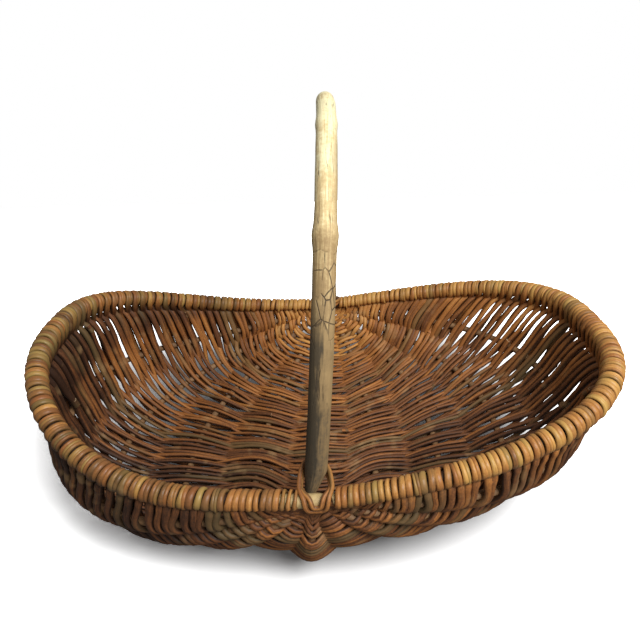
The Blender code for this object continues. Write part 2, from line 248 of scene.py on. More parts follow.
    def leg_x(self, end: float, height: float) -> float:
        """X of the handle's front (below 0) or rear leg at a height over its tip."""
        foot_x = self.front_foot_x if end < 0 else self.rear_foot_x
        share = max(height, 0.0) / (self.handle_height + self.foot_drop)
        return foot_x + (self.handle_top_x - foot_x) * share ** self.leg_power

    def foot_y(self) -> float:
        """Distance of a handle foot's middle from the basket's middle."""
        return self.half_width - self.rim_rod_radius - self.clearance - self.foot_diameter / 2

    def handle_point(self, share: float) -> Vector:
        """Middle of the handle at a share of its run, from the front foot to the rear foot."""
        angle = math.pi * share
        across = -signed_power(math.cos(angle), 2 / self.handle_bend)
        height = (self.handle_height + self.foot_drop) * abs(math.sin(angle)) ** (2 / self.handle_bend)
        z = height - self.foot_drop + self.lift
        return Vector((self.leg_x(across, height), self.foot_y() * across, z))

    def lashing_point(self, end: int, turn: float) -> Vector:
        """Point of a lashing's middle line.

        Args:
            end: -1 at the front ear, 1 at the rear ear.
            turn: count of its loops round the foot and the rod, from behind the foot.

        Returns:
            The point over the floor.
        """
        radius = self.lashing_diameter / 2
        spread = self.lashing_pitch * turn
        angle = 2 * math.pi * turn
        reach = self.foot_diameter / 2 + self.clearance + radius + spread
        sideways = signed_power(math.sin(angle), self.lashing_corner)
        x = self.leg_x(end, self.foot_tip_length) + reach * sideways
        away = (1 - math.cos(angle)) / 2
        around = self.rim_rod_radius + self.clearance + radius
        behind = self.half_width - self.rim_rod_radius - self.foot_diameter - 2 * self.clearance - radius
        if away < 0.5:
            part = away * 2
            y = behind + (self.half_width - behind) * part
            z = self.lashing_height + spread + (around - self.lashing_height - spread) * part
        else:
            bend = (self.lashing_front_angle + spread / around) * (away - 0.5) * 2
            y = self.half_width + around * math.sin(bend)
            z = around * math.cos(bend)
        side = 1 if x > self.rod_join_x else -1
        z += self.rim_height(abs(x - self.rod_join_x) / self.rim_reach(side), side, end < 0)
        return Vector((x, end * y, z + self.lift))


SHAPE = BasketShape()
KEEL = len(SHAPE.rib_shares) + 1
RIGHT_RIM = 2 * KEEL
LEFT_RIM = 0


class RodTable:
    """Middles and directions of the eleven rods, looked up by place and not by station.

    A place runs from 0 at the front ear over 1 halfway to 2 at the rear ear, in even steps of rim.
    """

    STEPS = 400
    FIRST = 0.012
    POWER = 1.5
    CROWDED = 0.006
    FREEING = 0.016

    def __init__(self, shape: BasketShape) -> None:
        """Lay out the table.

        Args:
            shape: lines of the basket.
        """
        self.places = np.linspace(self.FIRST, 2 - self.FIRST, self.STEPS + 1)
        rows = [shape.rod_middles(self.angle(place)) for place in self.places]
        self.middles = np.array([[tuple(p) for p in row] for row in rows])
        self.middles[:, :, 2] += shape.lift
        self.runs = unit(np.gradient(self.middles, axis=0))
        nexts = self.middles[:, [*range(1, RIGHT_RIM + 1), RIGHT_RIM]]
        befores = self.middles[:, [0, *range(0, RIGHT_RIM)]]
        across = nexts - befores
        across -= self.runs * np.sum(across * self.runs, axis=2, keepdims=True)
        self.across = unit(across)
        self.outward = unit(np.cross(self.runs, self.across))
        gaps = np.linalg.norm(np.diff(self.middles, axis=1), axis=2)
        self.room = np.minimum(np.pad(gaps, ((0, 0), (1, 0)), constant_values=1.0),
                               np.pad(gaps, ((0, 0), (0, 1)), constant_values=1.0))
        steps = np.linalg.norm(np.diff(self.middles, axis=0), axis=2)
        ear = np.array([shape.rod_join_x, -shape.half_width, shape.lift])
        lead = np.linalg.norm(self.middles[0] - ear, axis=1)
        self.lengths = np.vstack([lead, lead + np.cumsum(steps, axis=0)])

    @classmethod
    def angle(cls, place: float) -> float:
        """Station angle of a place."""
        if place < 1:
            return math.pi / 2 * place ** cls.POWER
        return math.pi - math.pi / 2 * (2 - place) ** cls.POWER

    @classmethod
    def place(cls, share: float) -> float:
        """Place of a station given as a share of the whole angle."""
        if share < 0.5:
            return (2 * share) ** (1 / cls.POWER)
        return 2 - (2 - 2 * share) ** (1 / cls.POWER)

    def _look(self, table: Array, rod: int, places: Array) -> Array:
        """Rows of a table at places along one rod."""
        return np.stack([np.interp(places, self.places, table[:, rod, k]) for k in range(3)], axis=-1)

    def middle(self, rod: int, places: Array) -> Array:
        """Middles of a rod at places."""
        return self._look(self.middles, rod, places)

    def right(self, rod: int, places: Array) -> Array:
        """Direction across the rods from left to right, at places."""
        return unit(self._look(self.across, rod, places))

    def out(self, rod: int, places: Array) -> Array:
        """Direction out of the bowl, at places."""
        return unit(self._look(self.outward, rod, places))

    def length(self, rod: int, place: float) -> float:
        """Length of a rod from the front ear to a place."""
        return float(np.interp(place, self.places, self.lengths[:, rod]))

    def place_of_length(self, rod: int, length: Numbers) -> Numbers:
        """Place on a rod at a length from the front ear."""
        return np.interp(length, self.lengths[:, rod], self.places)

    def openness(self, rod: int, places: Numbers) -> Numbers:
        """How freely the rods stand apart at a place, from 0 at an ear to 1."""
        return rise(np.interp(places, self.places, self.room[:, rod]), self.CROWDED, self.FREEING)


RODS = RodTable(SHAPE)


def waves(lengths: Array, rng: random.Random, scales: tuple[float, ...]) -> Array:
    """Smooth wander along a strand.

    Args:
        lengths: length along the strand of each point, in metres.
        rng: source of the strand's phases.
        scales: wave lengths in metres.

    Returns:
        Values of about -1 to 1.
    """
    total = np.zeros(len(lengths))
    for scale in scales:
        turns = lengths / scale * 2 * math.pi
        total += np.sin(turns * rng.uniform(*WAVE_STRETCH) + rng.uniform(*WAVE_PHASE))
    return total / len(scales)


def spread_out(flags: Array, reach: int) -> Array:
    """Share of flagged points among the neighbours of each point, up to a reach of points away."""
    count = 2 * reach + 1
    return np.convolve(np.pad(flags.astype(float), reach, mode="edge"), np.ones(count) / count, mode="valid")


def lengths_of(points: Array) -> Array:
    """Length along a line at each of its points."""
    return np.concatenate([[0.0], np.cumsum(np.linalg.norm(np.diff(points, axis=0), axis=1))])


@dataclass
class Strand:
    """A rod or strand as a line of rings: its middles, a lengthways face, its half sizes and marks."""

    middles: Array
    faces: Array
    thick: Array
    wide: Array
    marks: dict[str, Array]
    sides: int = 8

    def rings(self) -> Array:
        """Points of every ring, square to the strand's run, with the floor's height as their lowest."""
        runs = unit(np.gradient(self.middles, axis=0))
        faces = self.faces - runs * np.sum(self.faces * runs, axis=1, keepdims=True)
        faces = unit(faces)
        turns = np.sign(np.sum(faces[1:] * faces[:-1], axis=1))
        faces[1:] *= np.cumprod(np.where(turns == 0, 1, turns))[:, None]
        edges = np.cross(runs, faces)
        angles = np.arange(self.sides) / self.sides * 2 * math.pi
        rings = (self.middles[:, None]
                 + faces[:, None] * (np.cos(angles)[:, None] * self.thick[:, None, None])
                 + edges[:, None] * (np.sin(angles)[:, None] * self.wide[:, None, None]))
        rings[:, :, 2] = np.maximum(rings[:, :, 2], 0.0)
        return rings


class Bundle:
    """Strands gathered in one mesh, each swept ring by ring, with their marks kept on the points."""

    def __init__(self, name: str, marks: tuple[str, ...]) -> None:
        """Start an empty bundle.

        Args:
            name: name of the piece.
            marks: names of the values that its finish reads.
        """
        self.name = name
        self.marks = marks
        self.mesh = bmesh.new()
        for mark in marks:
            self.mesh.verts.layers.float.new(mark)

    def add(self, strand: Strand) -> None:
        """Sweep one strand and add it.

        Args:
            strand: its rings, sizes and marks.
        """
        tube = bmesh.new()
        order = tube.verts.layers.int.new("order")
        layers = {mark: tube.verts.layers.float.new(mark) for mark in self.marks}
        rings = strand.rings()
        marks = {mark: strand.marks.get(mark, np.zeros(len(rings))) for mark in self.marks}
        circle = bmesh.ops.create_circle(tube, cap_ends=True, radius=1.0, segments=strand.sides)
        verts = circle["verts"]
        tube.faces.ensure_lookup_table()
        first = tube.faces[0]
        edges = list(tube.edges)
        for i, vert in enumerate(verts):
            vert[order] = i
        for k, ring in enumerate(rings):
            if k > 0:
                made = bmesh.ops.extrude_edge_only(tube, edges=edges)["geom"]
                verts = [g for g in made if isinstance(g, bmesh.types.BMVert)]
                fresh = set(verts)
                edges = [g for g in made if isinstance(g, bmesh.types.BMEdge)
                         and g.verts[0] in fresh and g.verts[1] in fresh]
            for vert in verts:
                vert.co = ring[vert[order]]
                angle = 2 * math.pi * vert[order] / strand.sides
                around = {"across": math.cos(angle), "depth": math.sin(angle)}
                for mark, layer in layers.items():
                    vert[layer] = around.get(mark, float(marks[mark][k]))
        last = bmesh.ops.contextual_create(tube, geom=edges)["faces"]
        for face in tube.faces:
            face.smooth = True
        for face in [first, *last]:
            face.material_index = CUT
            face.smooth = False
            for edge in face.edges:
                edge.smooth = False
        bmesh.ops.recalc_face_normals(tube, faces=tube.faces)
        tube.verts.layers.int.remove(order)
        swept = bpy.data.meshes.new("swept")
        tube.to_mesh(swept)
        tube.free()
        self.mesh.from_mesh(swept)
        bpy.data.meshes.remove(swept)

    def finish(self, slot: str, skin: Material, cut: Material, nodes: tuple[str, ...]) -> bpy.types.Object:
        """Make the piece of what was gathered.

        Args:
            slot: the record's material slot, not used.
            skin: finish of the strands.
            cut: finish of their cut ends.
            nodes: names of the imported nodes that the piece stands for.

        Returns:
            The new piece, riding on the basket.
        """
        mesh = bpy.data.meshes.new(self.name)
        self.mesh.to_mesh(mesh)
        self.mesh.free()
        piece = bpy.data.objects.new(self.name, mesh)
        bpy.context.scene.collection.objects.link(piece)
        mesh.materials.append(skin)
        mesh.materials.append(cut)
        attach(piece, "root")
        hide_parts(*nodes)
        LOG.info("%s: %d faces", self.name, len(mesh.polygons))
        return piece


class Nodes:
    """Short hand for building a material from nodes."""

    def __init__(self, name: str) -> None:
        """Start a material with a plain shader.

        Args:
            name: name of the material.
        """
        self.material = bpy.data.materials.new(name)
        self.material.use_nodes = True
        self.tree = self.material.node_tree
        self.shader = self.tree.nodes["Principled BSDF"]
        self.place = self.node("ShaderNodeTexCoord").outputs["Object"]

    def node(self, kind: str, **settings: object) -> bpy.types.Node:
        """Add a node with some of its settings."""
        made = self.tree.nodes.new(kind)
        for key, value in settings.items():
            setattr(made, key, value)
        return made

    def link(self, source: Value, target: Socket) -> None:
        """Feed a socket from another socket or a plain value."""
        if isinstance(source, Socket):
            self.tree.links.new(source, target)
        else:
            target.default_value = source

    def mark(self, name: str) -> Socket:
        """Value that the mesh holds at each point."""
        return self.node("ShaderNodeAttribute", attribute_name=name).outputs["Fac"]

    def maths(self, operation: str, first: Value, second: Value = 0.0, clamp: bool = False) -> Socket:
        """One operation on two values, held between 0 and 1 if clamp is set."""
        made = self.node("ShaderNodeMath", operation=operation, use_clamp=clamp)
        self.link(first, made.inputs[0])
        self.link(second, made.inputs[1])
        return made.outputs[0]

    def plus(self, first: Value, second: Value, clamp: bool = False) -> Socket:
        """Sum of two values."""
        return self.maths("ADD", first, second, clamp)

    def times(self, first: Value, second: Value) -> Socket:
        """Product of two values."""
        return self.maths("MULTIPLY", first, second)

    def noise(self, place: Socket, scale: float, detail: float = 3.0, roughness: float = 0.5) -> Socket:
        """Soft cloudy noise."""
        made = self.node("ShaderNodeTexNoise")
        inputs = (("Vector", place), ("Scale", scale), ("Detail", detail), ("Roughness", roughness))
        for name, value in inputs:
            self.link(value, made.inputs[name])
        return made.outputs["Fac"]

    def vector(self, x: Value, y: Value, z: Value) -> Socket:
        """Vector of three values."""
        made = self.node("ShaderNodeCombineXYZ")
        for value, socket in zip((x, y, z), made.inputs):
            self.link(value, socket)
        return made.outputs[0]

    def drawn_out(self, along: Socket, across: Socket, depth: Socket, fine: float, wide: float) -> Socket:
        """Place on a strand for a pattern that is drawn out along it.

        Args:
            along: length along the strand.
            across: place across the strand.
            depth: place through the strand.
            fine: scale along the strand, per metre.
            wide: scale round the strand.

        Returns:
            The place.
        """
        return self.vector(self.times(along, fine), self.times(across, wide), self.times(depth, wide))

    def ramp(self, value: Socket, stops: list[tuple[float, Colour]]) -> Socket:
        """Colour along a ramp of stops."""
        made = self.node("ShaderNodeValToRGB")
        elements = made.color_ramp.elements
        while len(elements) < len(stops):
            elements.new(0.5)
        for element, (place, colour) in zip(elements, stops):
            element.position = place
            element.color = (*colour, 1.0)
        self.link(value, made.inputs[0])
        return made.outputs["Color"]

    def level(self, value: Socket, low: float, high: float,
              to_low: float = 0.0, to_high: float = 1.0) -> Socket:
        """Map a range of values to another, held at its ends."""
        made = self.node("ShaderNodeMapRange", clamp=True)
        self.link(value, made.inputs["Value"])
        ends = (("From Min", low), ("From Max", high), ("To Min", to_low), ("To Max", to_high))
        for name, number in ends:
            made.inputs[name].default_value = number
        return made.outputs["Result"]

    def sway(self, noise: Socket, reach: float) -> Socket:
        """Noise spread from minus a reach to the reach."""
        return self.level(noise, 0.3, 0.7, -reach, reach)

    def mix(self, share: Value, first: Socket | Colour, second: Socket | Colour) -> Socket:
        """Blend of two colours."""
        made = self.node("ShaderNodeMix", data_type="RGBA", blend_type="MIX")
        self.link(share, made.inputs[0])
        for colour, socket in ((first, made.inputs[6]), (second, made.inputs[7])):
            self.link(colour if isinstance(colour, Socket) else (*colour, 1.0), socket)
        return made.outputs[2]

    def bump(self, height: Socket, distance: float, strength: float) -> None:
        """Relief on the shader from a height."""
        made = self.node("ShaderNodeBump")
        made.inputs["Strength"].default_value = strength
        made.inputs["Distance"].default_value = distance
        self.link(height, made.inputs["Height"])
        self.link(made.outputs["Normal"], self.shader.inputs["Normal"])


@dataclass(frozen=True)
class BarkFinish:
    """Willow left in its bark: red brown to orange, some of it olive, rubbed golden on the rim.

    Scales are per metre. Shifts set one strand's pattern off from the next one's. Changes and
    shares say how far a pattern moves the tone or the colour.
    """

    dark: Colour = (0.040, 0.016, 0.007)
    brown: Colour = (0.17, 0.062, 0.020)
    orange: Colour = (0.43, 0.162, 0.037)
    golden: Colour = (0.68, 0.345, 0.090)
    olive: Colour = (0.17, 0.115, 0.045)
    pale: Colour = (0.52, 0.32, 0.14)
    aged: Colour = (0.34, 0.215, 0.066)
    straw: Colour = (0.50, 0.345, 0.095)
    russet: Colour = (0.27, 0.085, 0.025)
    streak_scale: float = 26.0
    streak_width: float = 1.5
    streak_shift: float = 37.0
    stretch_scale: float = 9.0
    stretch_shift: float = 53.0
    hue_scale: float = 15.0
    hue_shift: float = 29.0
    grain_scale: float = 520.0
    patch_scale: float = 38.0
    streak_change: float = 0.26
    grain_change: float = 0.09
    wrap_change: float = 0.30
    edge_painted_shade: float = 0.42
    olive_strands: float = 0.6
    olive_stretches: float = 0.5
    scuffed_share: float = 0.4
    aged_share: float = 0.22
    straw_share: float = 0.50
    russet_share: float = 0.60
    specular: float = 0.4
    relief: float = 0.0006

    def stretches(self, nodes: Nodes, scale: float, shift: float) -> Socket:
        """Noise that changes along each strand.

        Args:
            nodes: the material in the making.
            scale: changes per metre.
            shift: how far the pattern moves from strand to strand.

        Returns:
            The noise.
        """
        along, strand = nodes.times(nodes.mark("along"), scale), nodes.times(nodes.mark("tint"), shift)
        return nodes.noise(nodes.vector(along, strand, 0.0), 1.0, 1.0)

    def material(self) -> Material:
        """Make the finish."""
        nodes = Nodes("willow_bark")
        tone, along, wrap = nodes.mark("tone"), nodes.mark("along"), nodes.mark("wrap")
        strand, across, depth = nodes.mark("tint"), nodes.mark("across"), nodes.mark("depth")
        side = nodes.plus(nodes.times(across, self.streak_width), nodes.times(strand, self.streak_shift))
        through = nodes.times(depth, self.streak_width)
        place = nodes.vector(nodes.times(along, self.streak_scale), side, through)
        streaks = nodes.noise(place, 1.0, 5.0, 0.66)
        grain = nodes.noise(nodes.place, self.grain_scale, 3.0, 0.6)
        patches = nodes.noise(nodes.place, self.patch_scale, 2.0)
        shade = nodes.plus(tone, nodes.level(streaks, 0.25, 0.75, -self.streak_change, self.streak_change))
        shade = nodes.plus(shade, nodes.sway(grain, self.grain_change))
        shade = nodes.plus(shade, nodes.times(wrap, self.wrap_change))
        # Painted shade: each strand is darkened along its sides, where it meets its neighbours.
        edge = nodes.level(nodes.maths("ABSOLUTE", depth), 0.70, 1.0, 0.0, self.edge_painted_shade)
        shade = nodes.maths("SUBTRACT", shade, edge, clamp=True)
        stops = [(0.0, self.dark), (0.34, self.brown), (0.68, self.orange), (1.0, self.golden)]
        colour = nodes.ramp(shade, stops)
        stretches = self.stretches(nodes, self.stretch_scale, self.stretch_shift)
        greener = nodes.maths("MAXIMUM", nodes.level(strand, 0.86, 0.94, 0.0, self.olive_strands),
                              nodes.level(stretches, 0.59, 0.70, 0.0, self.olive_stretches))
        colour = nodes.mix(greener, colour, self.olive)
        colour = nodes.mix(nodes.level(patches, 0.60, 0.74, 0.0, self.scuffed_share), colour, self.pale)
        colour = nodes.mix(nodes.times(wrap, self.aged_share), colour, self.aged)
        hues = self.stretches(nodes, self.hue_scale, self.hue_shift)
        straw = nodes.level(hues, 0.53, 0.68, 0.0, self.straw_share)
        colour = nodes.mix(nodes.times(wrap, straw), colour, self.straw)
        russet = nodes.level(hues, 0.32, 0.47, self.russet_share, 0.0)
        colour = nodes.mix(nodes.times(wrap, russet), colour, self.russet)
        nodes.link(colour, nodes.shader.inputs["Base Color"])
        nodes.shader.inputs["Specular IOR Level"].default_value = self.specular
        gloss = nodes.level(nodes.plus(grain, nodes.times(wrap, -0.45)), -0.1, 0.8, 0.38, 0.75)
        nodes.link(gloss, nodes.shader.inputs["Roughness"])
        nodes.bump(nodes.plus(nodes.times(streaks, 0.6), nodes.times(grain, 0.5)), self.relief, 0.6)
        return nodes.material


@dataclass(frozen=True)
class PeeledFinish:
    """Pale wood: a peeled rod, or the cut end of a strand."""

    name: str
    pale: Colour
    dark: Colour
    grain_scale: float
    patch_ratio: float = 9.0
    fine_share: float = 0.55
    broad_share: float = 0.45
    relief: float = 0.0005

    def material(self) -> Material:
        """Make the finish."""
        nodes = Nodes(self.name)
        fine = nodes.noise(nodes.place, self.grain_scale, 4.0, 0.65)
        broad = nodes.noise(nodes.place, self.grain_scale / self.patch_ratio, 2.0)
        shade = nodes.plus(nodes.times(fine, self.fine_share), nodes.times(broad, self.broad_share))
        colour = nodes.ramp(shade, [(0.30, self.dark), (0.62, self.pale)])
        nodes.link(colour, nodes.shader.inputs["Base Color"])
        nodes.link(nodes.level(fine, 0.2, 0.8, 0.55, 0.8), nodes.shader.inputs["Roughness"])
        nodes.bump(fine, self.relief, 0.5)
        return nodes.material


@dataclass(frozen=True)
class BranchFinish:
    """Weathered branch: pale at the top and browner and greyer towards the feet, partly its own weathering
    and partly painted light from above; darker low on the left, tan on the right, with cracks.

    Heights over the floor come in pairs, between which a change takes place.
    """

    bleached_and_lit: Colour = (0.94, 0.84, 0.50)
    cream: Colour = (0.70, 0.53, 0.26)
    tan: Colour = (0.385, 0.255, 0.112)
    brown: Colour = (0.235, 0.153, 0.068)
    foot: Colour = (0.13, 0.095, 0.055)
    dark_low_left: Colour = (0.046, 0.036, 0.022)
    crack: Colour = (0.07, 0.045, 0.025)
    bleach_and_light_heights: tuple[float, float] = (0.13, 0.44)
    dark_low_left_ends: tuple[float, float] = (0.265, 0.30)
    tan_right_ends: tuple[float, float] = (0.405, 0.425)
    peeling_starts: tuple[float, float] = (0.255, 0.29)
    peeling_ends: tuple[float, float] = (0.335, 0.35)
    dark_low_left_share: float = 0.85
    tan_right_share: float = 0.6
    split_share: float = 0.85
    crack_share: float = 0.95
    relief: float = 0.0012

    def material(self) -> Material:
        """Make the finish."""
        nodes = Nodes("weathered_branch")
        height = nodes.mark("height")
        marks = [nodes.mark(name) for name in ("along", "across", "depth")]
        fibres = nodes.noise(nodes.drawn_out(*marks, 30.0, 4.0), 1.0, 5.0, 0.62)
        clouds = nodes.noise(nodes.place, 30.0, 4.0, 0.6)
        specks = nodes.noise(nodes.place, 300.0, 3.0, 0.7)
        # Lighter with height: partly the wood's own bleaching, partly painted light falling from above.
        shade = nodes.plus(nodes.level(height, *self.bleach_and_light_heights), nodes.sway(clouds, 0.12))
        shade = nodes.plus(shade, nodes.sway(fibres, 0.12))
        shade = nodes.plus(shade, nodes.sway(specks, 0.07), clamp=True)
        colour = nodes.ramp(shade, [(0.0, self.foot), (0.2, self.brown), (0.58, self.tan),
                                    (0.80, self.cream), (0.95, self.bleached_and_lit)])
        ragged = nodes.plus(marks[1], nodes.sway(clouds, 0.35))
        # Darker on the left side, low down the branch.
        left = nodes.level(nodes.plus(ragged, nodes.sway(fibres, 0.25)), -0.30, 0.10, self.dark_low_left_share, 0.0)
        dark_low_left_mask = nodes.times(left, nodes.level(height, *self.dark_low_left_ends, 1.0, 0.0))
        colour = nodes.mix(dark_low_left_mask, colour, self.dark_low_left)
        # Tan on the right side, below the very top.
        right = nodes.level(ragged, 0.50, 0.95, 0.0, self.tan_right_share)
        tan_right_mask = nodes.times(right, nodes.level(height, *self.tan_right_ends, 1.0, 0.0))
        colour = nodes.mix(tan_right_mask, colour, self.tan)
        broken = nodes.maths("MAXIMUM", self.splits(nodes, marks, clouds),
                             self.cracks(nodes, marks, clouds, height))
        colour = nodes.mix(broken, colour, self.crack)
        nodes.link(colour, nodes.shader.inputs["Base Color"])
        nodes.link(nodes.level(fibres, 0.2, 0.8, 0.6, 0.85), nodes.shader.inputs["Roughness"])
        nodes.bump(nodes.maths("SUBTRACT", nodes.times(fibres, 0.6), broken), self.relief, 0.7)
        return nodes.material

    def splits(self, nodes: Nodes, marks: list[Socket], clouds: Socket) -> Socket:
        """Long splits in the wood, here and there.

        Args:
            nodes: the material in the making.
            marks: length along the branch, place across it and depth.
            clouds: noise that parts split wood from whole.

        Returns:
            Share of split wood.
        """
        lines = nodes.noise(nodes.drawn_out(*marks, 11.0, 1.7), 1.0, 2.0)
        away = nodes.maths("ABSOLUTE", nodes.maths("SUBTRACT", lines, 0.56))
        return nodes.times(nodes.level(away, 0.004, 0.012, self.split_share, 0.0),
                           nodes.level(clouds, 0.50, 0.60))

    def cracks(self, nodes: Nodes, marks: list[Socket], clouds: Socket, height: Socket) -> Socket:
        """Cracks round the flakes of the stretch where the branch peels.

        Args:
            nodes: the material in the making.
            marks: length along the branch, place across it and depth.
            clouds: noise that parts peeling wood from sound.
            height: height over the floor.

        Returns:
            Share of cracked wood.
        """
        cells = nodes.node("ShaderNodeTexVoronoi", feature="DISTANCE_TO_EDGE")
        nodes.link(1.0, cells.inputs["Scale"])
        nodes.link(nodes.drawn_out(*marks, 62.0, 1.1), cells.inputs["Vector"])
        peeling = nodes.times(nodes.level(height, *self.peeling_starts),
                              nodes.level(height, *self.peeling_ends, 1.0, 0.0))
        peeling = nodes.times(peeling, nodes.level(clouds, 0.44, 0.56))
        lines = nodes.level(cells.outputs["Distance"], 0.012, 0.05, self.crack_share, 0.0)
        return nodes.times(lines, peeling)


@dataclass(frozen=True)
class WeavePaintedLight:
    """Painted light and shade on the willow: its tone made lighter or darker by place in the basket, after
    where the light falls.

    A span is where a change starts, in metres, and its width, which is negative where it falls.
    """

    base: float = -0.03
    rear_painted_light: float = 0.24
    rear_painted_light_reach: float = 0.13
    rear_painted_light_length: float = 1.3
    far_painted_light: float = 0.13
    far_span: tuple[float, float] = (0.02, 0.10)
    left_painted_shade: float = 0.22
    left_span: tuple[float, float] = (-0.048, -0.12)
    front_span: tuple[float, float] = (0.0, -0.05)
    low_span: tuple[float, float] = (0.16, -0.05)
    left_rim_painted_shade: float = -0.25
    right_rim_painted_light: float = 0.13
    sideways_span: tuple[float, float] = (0.0, 0.2)
    rim_span: tuple[float, float] = (0.12, 0.02)
    right_shade: float = 0.05
    right_span: tuple[float, float] = (0.0, 0.08)
    floor_span: tuple[float, float] = (0.06, -0.03)

    def shift(self, points: Array) -> Array:
        """Painted light and shade as a change of tone: brighter towards the rear ear and on the right rim,
        darker low on the left front, on the left rim and low on the right.

        Args:
            points: points of a strand.

        Returns:
            The change at each point.
        """
        x, y, z = points.T
        rear = np.hypot(x, (y - SHAPE.half_width) * self.rear_painted_light_length)
        painted_brightening = self.rear_painted_light * np.exp(-(rear / self.rear_painted_light_reach) ** 2)
        painted_brightening = painted_brightening + self.far_painted_light * rise(y, *self.far_span)
        painted_darkening = self.left_painted_shade * rise(x, *self.left_span) * rise(z, *self.low_span)
        painted_darkening = painted_darkening * rise(y, *self.front_span)
        on_rim = rise(np.abs(x), *self.sideways_span) * rise(z, *self.rim_span)
        on_rim = on_rim * np.where(x < 0, self.left_rim_painted_shade, self.right_rim_painted_light)
        shaded = self.right_shade * rise(z, *self.floor_span) * rise(x, *self.right_span)
        return painted_brightening - painted_darkening + on_rim - shaded + self.base


@dataclass
class Leg:
    """A stretch of the weaver's line: its points, its lengthways faces and its half width as a wrap, or 0."""

    points: Array
    faces: Array
    wrap: Array


@dataclass
class WovenSides:
    """The weave: one line that runs in rows from rim to rim and turns round the rim rod at each end.

    Starts are for the left rim, the keel and the right rim, in metres from the ear. Shares and
    reaches along the rows count from 0 at the front ear to 1 at the rear ear. Waves are the
    lengths of a wander, and a span is where a change starts and its width, all in metres.
    """

    rows: int = 176
    front_starts: tuple[float, float, float] = (0.0195, 0.010, 0.0105)
    rear_starts: tuple[float, float, float] = (0.004, 0.003, 0.030)
    front_crowding: float = 1.2
    rear_crowding: float = 0.9
    keel_crowding: float = 0.4
    crowding_reach: float = 0.14
    keel_spread: float = 0.30
    front_fan: float = 0.015
    front_fan_reach: float = 0.3
    rear_fan: float = 0.06
    rear_fan_reach: float = 0.5
    fan_power: float = 0.72
    front_lean: float = 0.018
    rear_lean: float = 0.025
    lean_power: float = 0.6
    lean_fades: tuple[float, float] = (0.70, 0.22)
    row_wander: float = 0.0034
    strand_radius: float = 0.0025
    pass_share: float = 0.6
    pass_gap: float = 0.0006
    shoulder_share: float = 0.34
    shoulder_wander: float = 0.3
    shoulder_out: float = 0.002
    shoulder_sway: float = 0.0014
    keel_bend: float = 0.03
    rib_bend: float = 0.22
    span_step: float = 0.0048
    turn_gap: float = 0.42
    turn_jitter: float = 0.35
    wrap_points: int = 18
    wrap_wander: float = 0.14
    wrap_waves: tuple[float, float] = (0.011, 0.017)
    wrap_unevenness: float = 0.00035
    unevenness_waves: tuple[float, float] = (0.011, 0.0062)
    wrap_seat: float = 0.88
    wrap_fill: float = 0.99
    wrap_flatness: float = 0.8
    wrap_width_wander: float = 0.16
    wrap_width_waves: tuple[float, float] = (0.137, 0.091)
    front_wrap_pitch: float = 0.0047
    rear_wrap_pitch: float = 0.0048
    widest_wrap: float = 0.0066
    thin_turns: int = 3
    thin_share: float = 0.6
    least_weaver: float = 1.5
    most_weaver: float = 2.7
    overlap_points: int = 3
    least_points: int = 40
    last_points: int = 200
    butt_radius: float = 0.0034
    tip_radius: float = 0.0027
    radius_wander: float = 0.05
    radius_waves: tuple[float, float] = (0.11, 0.043)
    floor_share: float = 0.72
    floor_span: tuple[float, float] = (0.02, 0.08)
    ear_share: float = 0.76
    ear_span: tuple[float, float] = (0.0, 0.15)
    bud_pitch: float = 0.052
    bud_first: tuple[float, float] = (0.02, 0.06)
    bud_wander: float = 0.012
    bud_reach: float = 0.004
    bud_swell: float = 0.13
    end_reach: float = 0.0045
    end_length: float = 0.03
    flatness: float = 0.94
    floor_width: float = 1.07
    wall_width: float = 1.28
    wall_span: tuple[float, float] = (0.05, 0.06)
    wall_ear_span: tuple[float, float] = (0.0, 0.2)
    right_slack: float = 0.25
    slack_out_span: tuple[float, float] = (0.14, 0.09)
    slack_up_span: tuple[float, float] = (0.03, 0.04)
    under_rim: float = 0.30
    least_tone: float = 0.24
    most_tone: float = 0.54
    tone_wander: float = 0.09
    tone_waves: tuple[float, float] = (0.35, 0.16)
    wrap_tone_wander: float = 0.24
    wrap_tone_waves: tuple[float, float] = (0.137, 0.195)
    painted_light_and_shade: WeavePaintedLight = WeavePaintedLight()
    rng: random.Random = field(default_factory=lambda: random.Random(WORK_SEED))

    def __post_init__(self) -> None:
        """Find where the weave starts and ends on both rims and the keel."""
        rods = (LEFT_RIM, KEEL, RIGHT_RIM)
        self.starts = dict(zip(rods, self.front_starts))
        self.ends = {rod: RODS.length(rod, 2.0) - gap for rod, gap in zip(rods, self.rear_starts)}
        self.wander = [[self.rng.uniform(-1, 1) for _ in range(RIGHT_RIM + 1)] for _ in range(self.rows)]
        self.shares = np.linspace(0, 1, 401)
        self.rim_counted = self.count_rows(self.front_crowding, self.rear_crowding)
        self.keel_counted = self.count_rows(self.front_crowding * self.keel_crowding, 0.0)

    def count_rows(self, front: float, rear: float) -> Array:
        """Share of the rows met along a rod, with the crowding at its front and rear ends."""
        crowd = (1 + front * np.exp(-(self.shares / self.crowding_reach) ** 2)
                 + rear * np.exp(-((1 - self.shares) / self.crowding_reach) ** 2))
        counted = np.concatenate([[0.0], np.cumsum((crowd[1:] + crowd[:-1]) / 2)])
        return counted / counted[-1]

    def swell(self, share: float) -> float:
        """Hump between shares 0 and 1, steep at its start."""
        return math.sin(math.pi * min(max(share, 0.0), 1.0) ** self.fan_power)

    def rod_place(self, rod: int, share: Numbers) -> Numbers:
        """Place on a rim or the keel at a share of the woven length."""
        start, end = self.starts[rod], self.ends[rod]
        return RODS.place_of_length(rod, start + (end - start) * share)

    def rim_place(self, rod: int, share: Numbers) -> Numbers:
        """Place on a rim at a share of the rows, which crowd towards the ears."""
        return self.rod_place(rod, np.interp(share, self.rim_counted, self.shares))

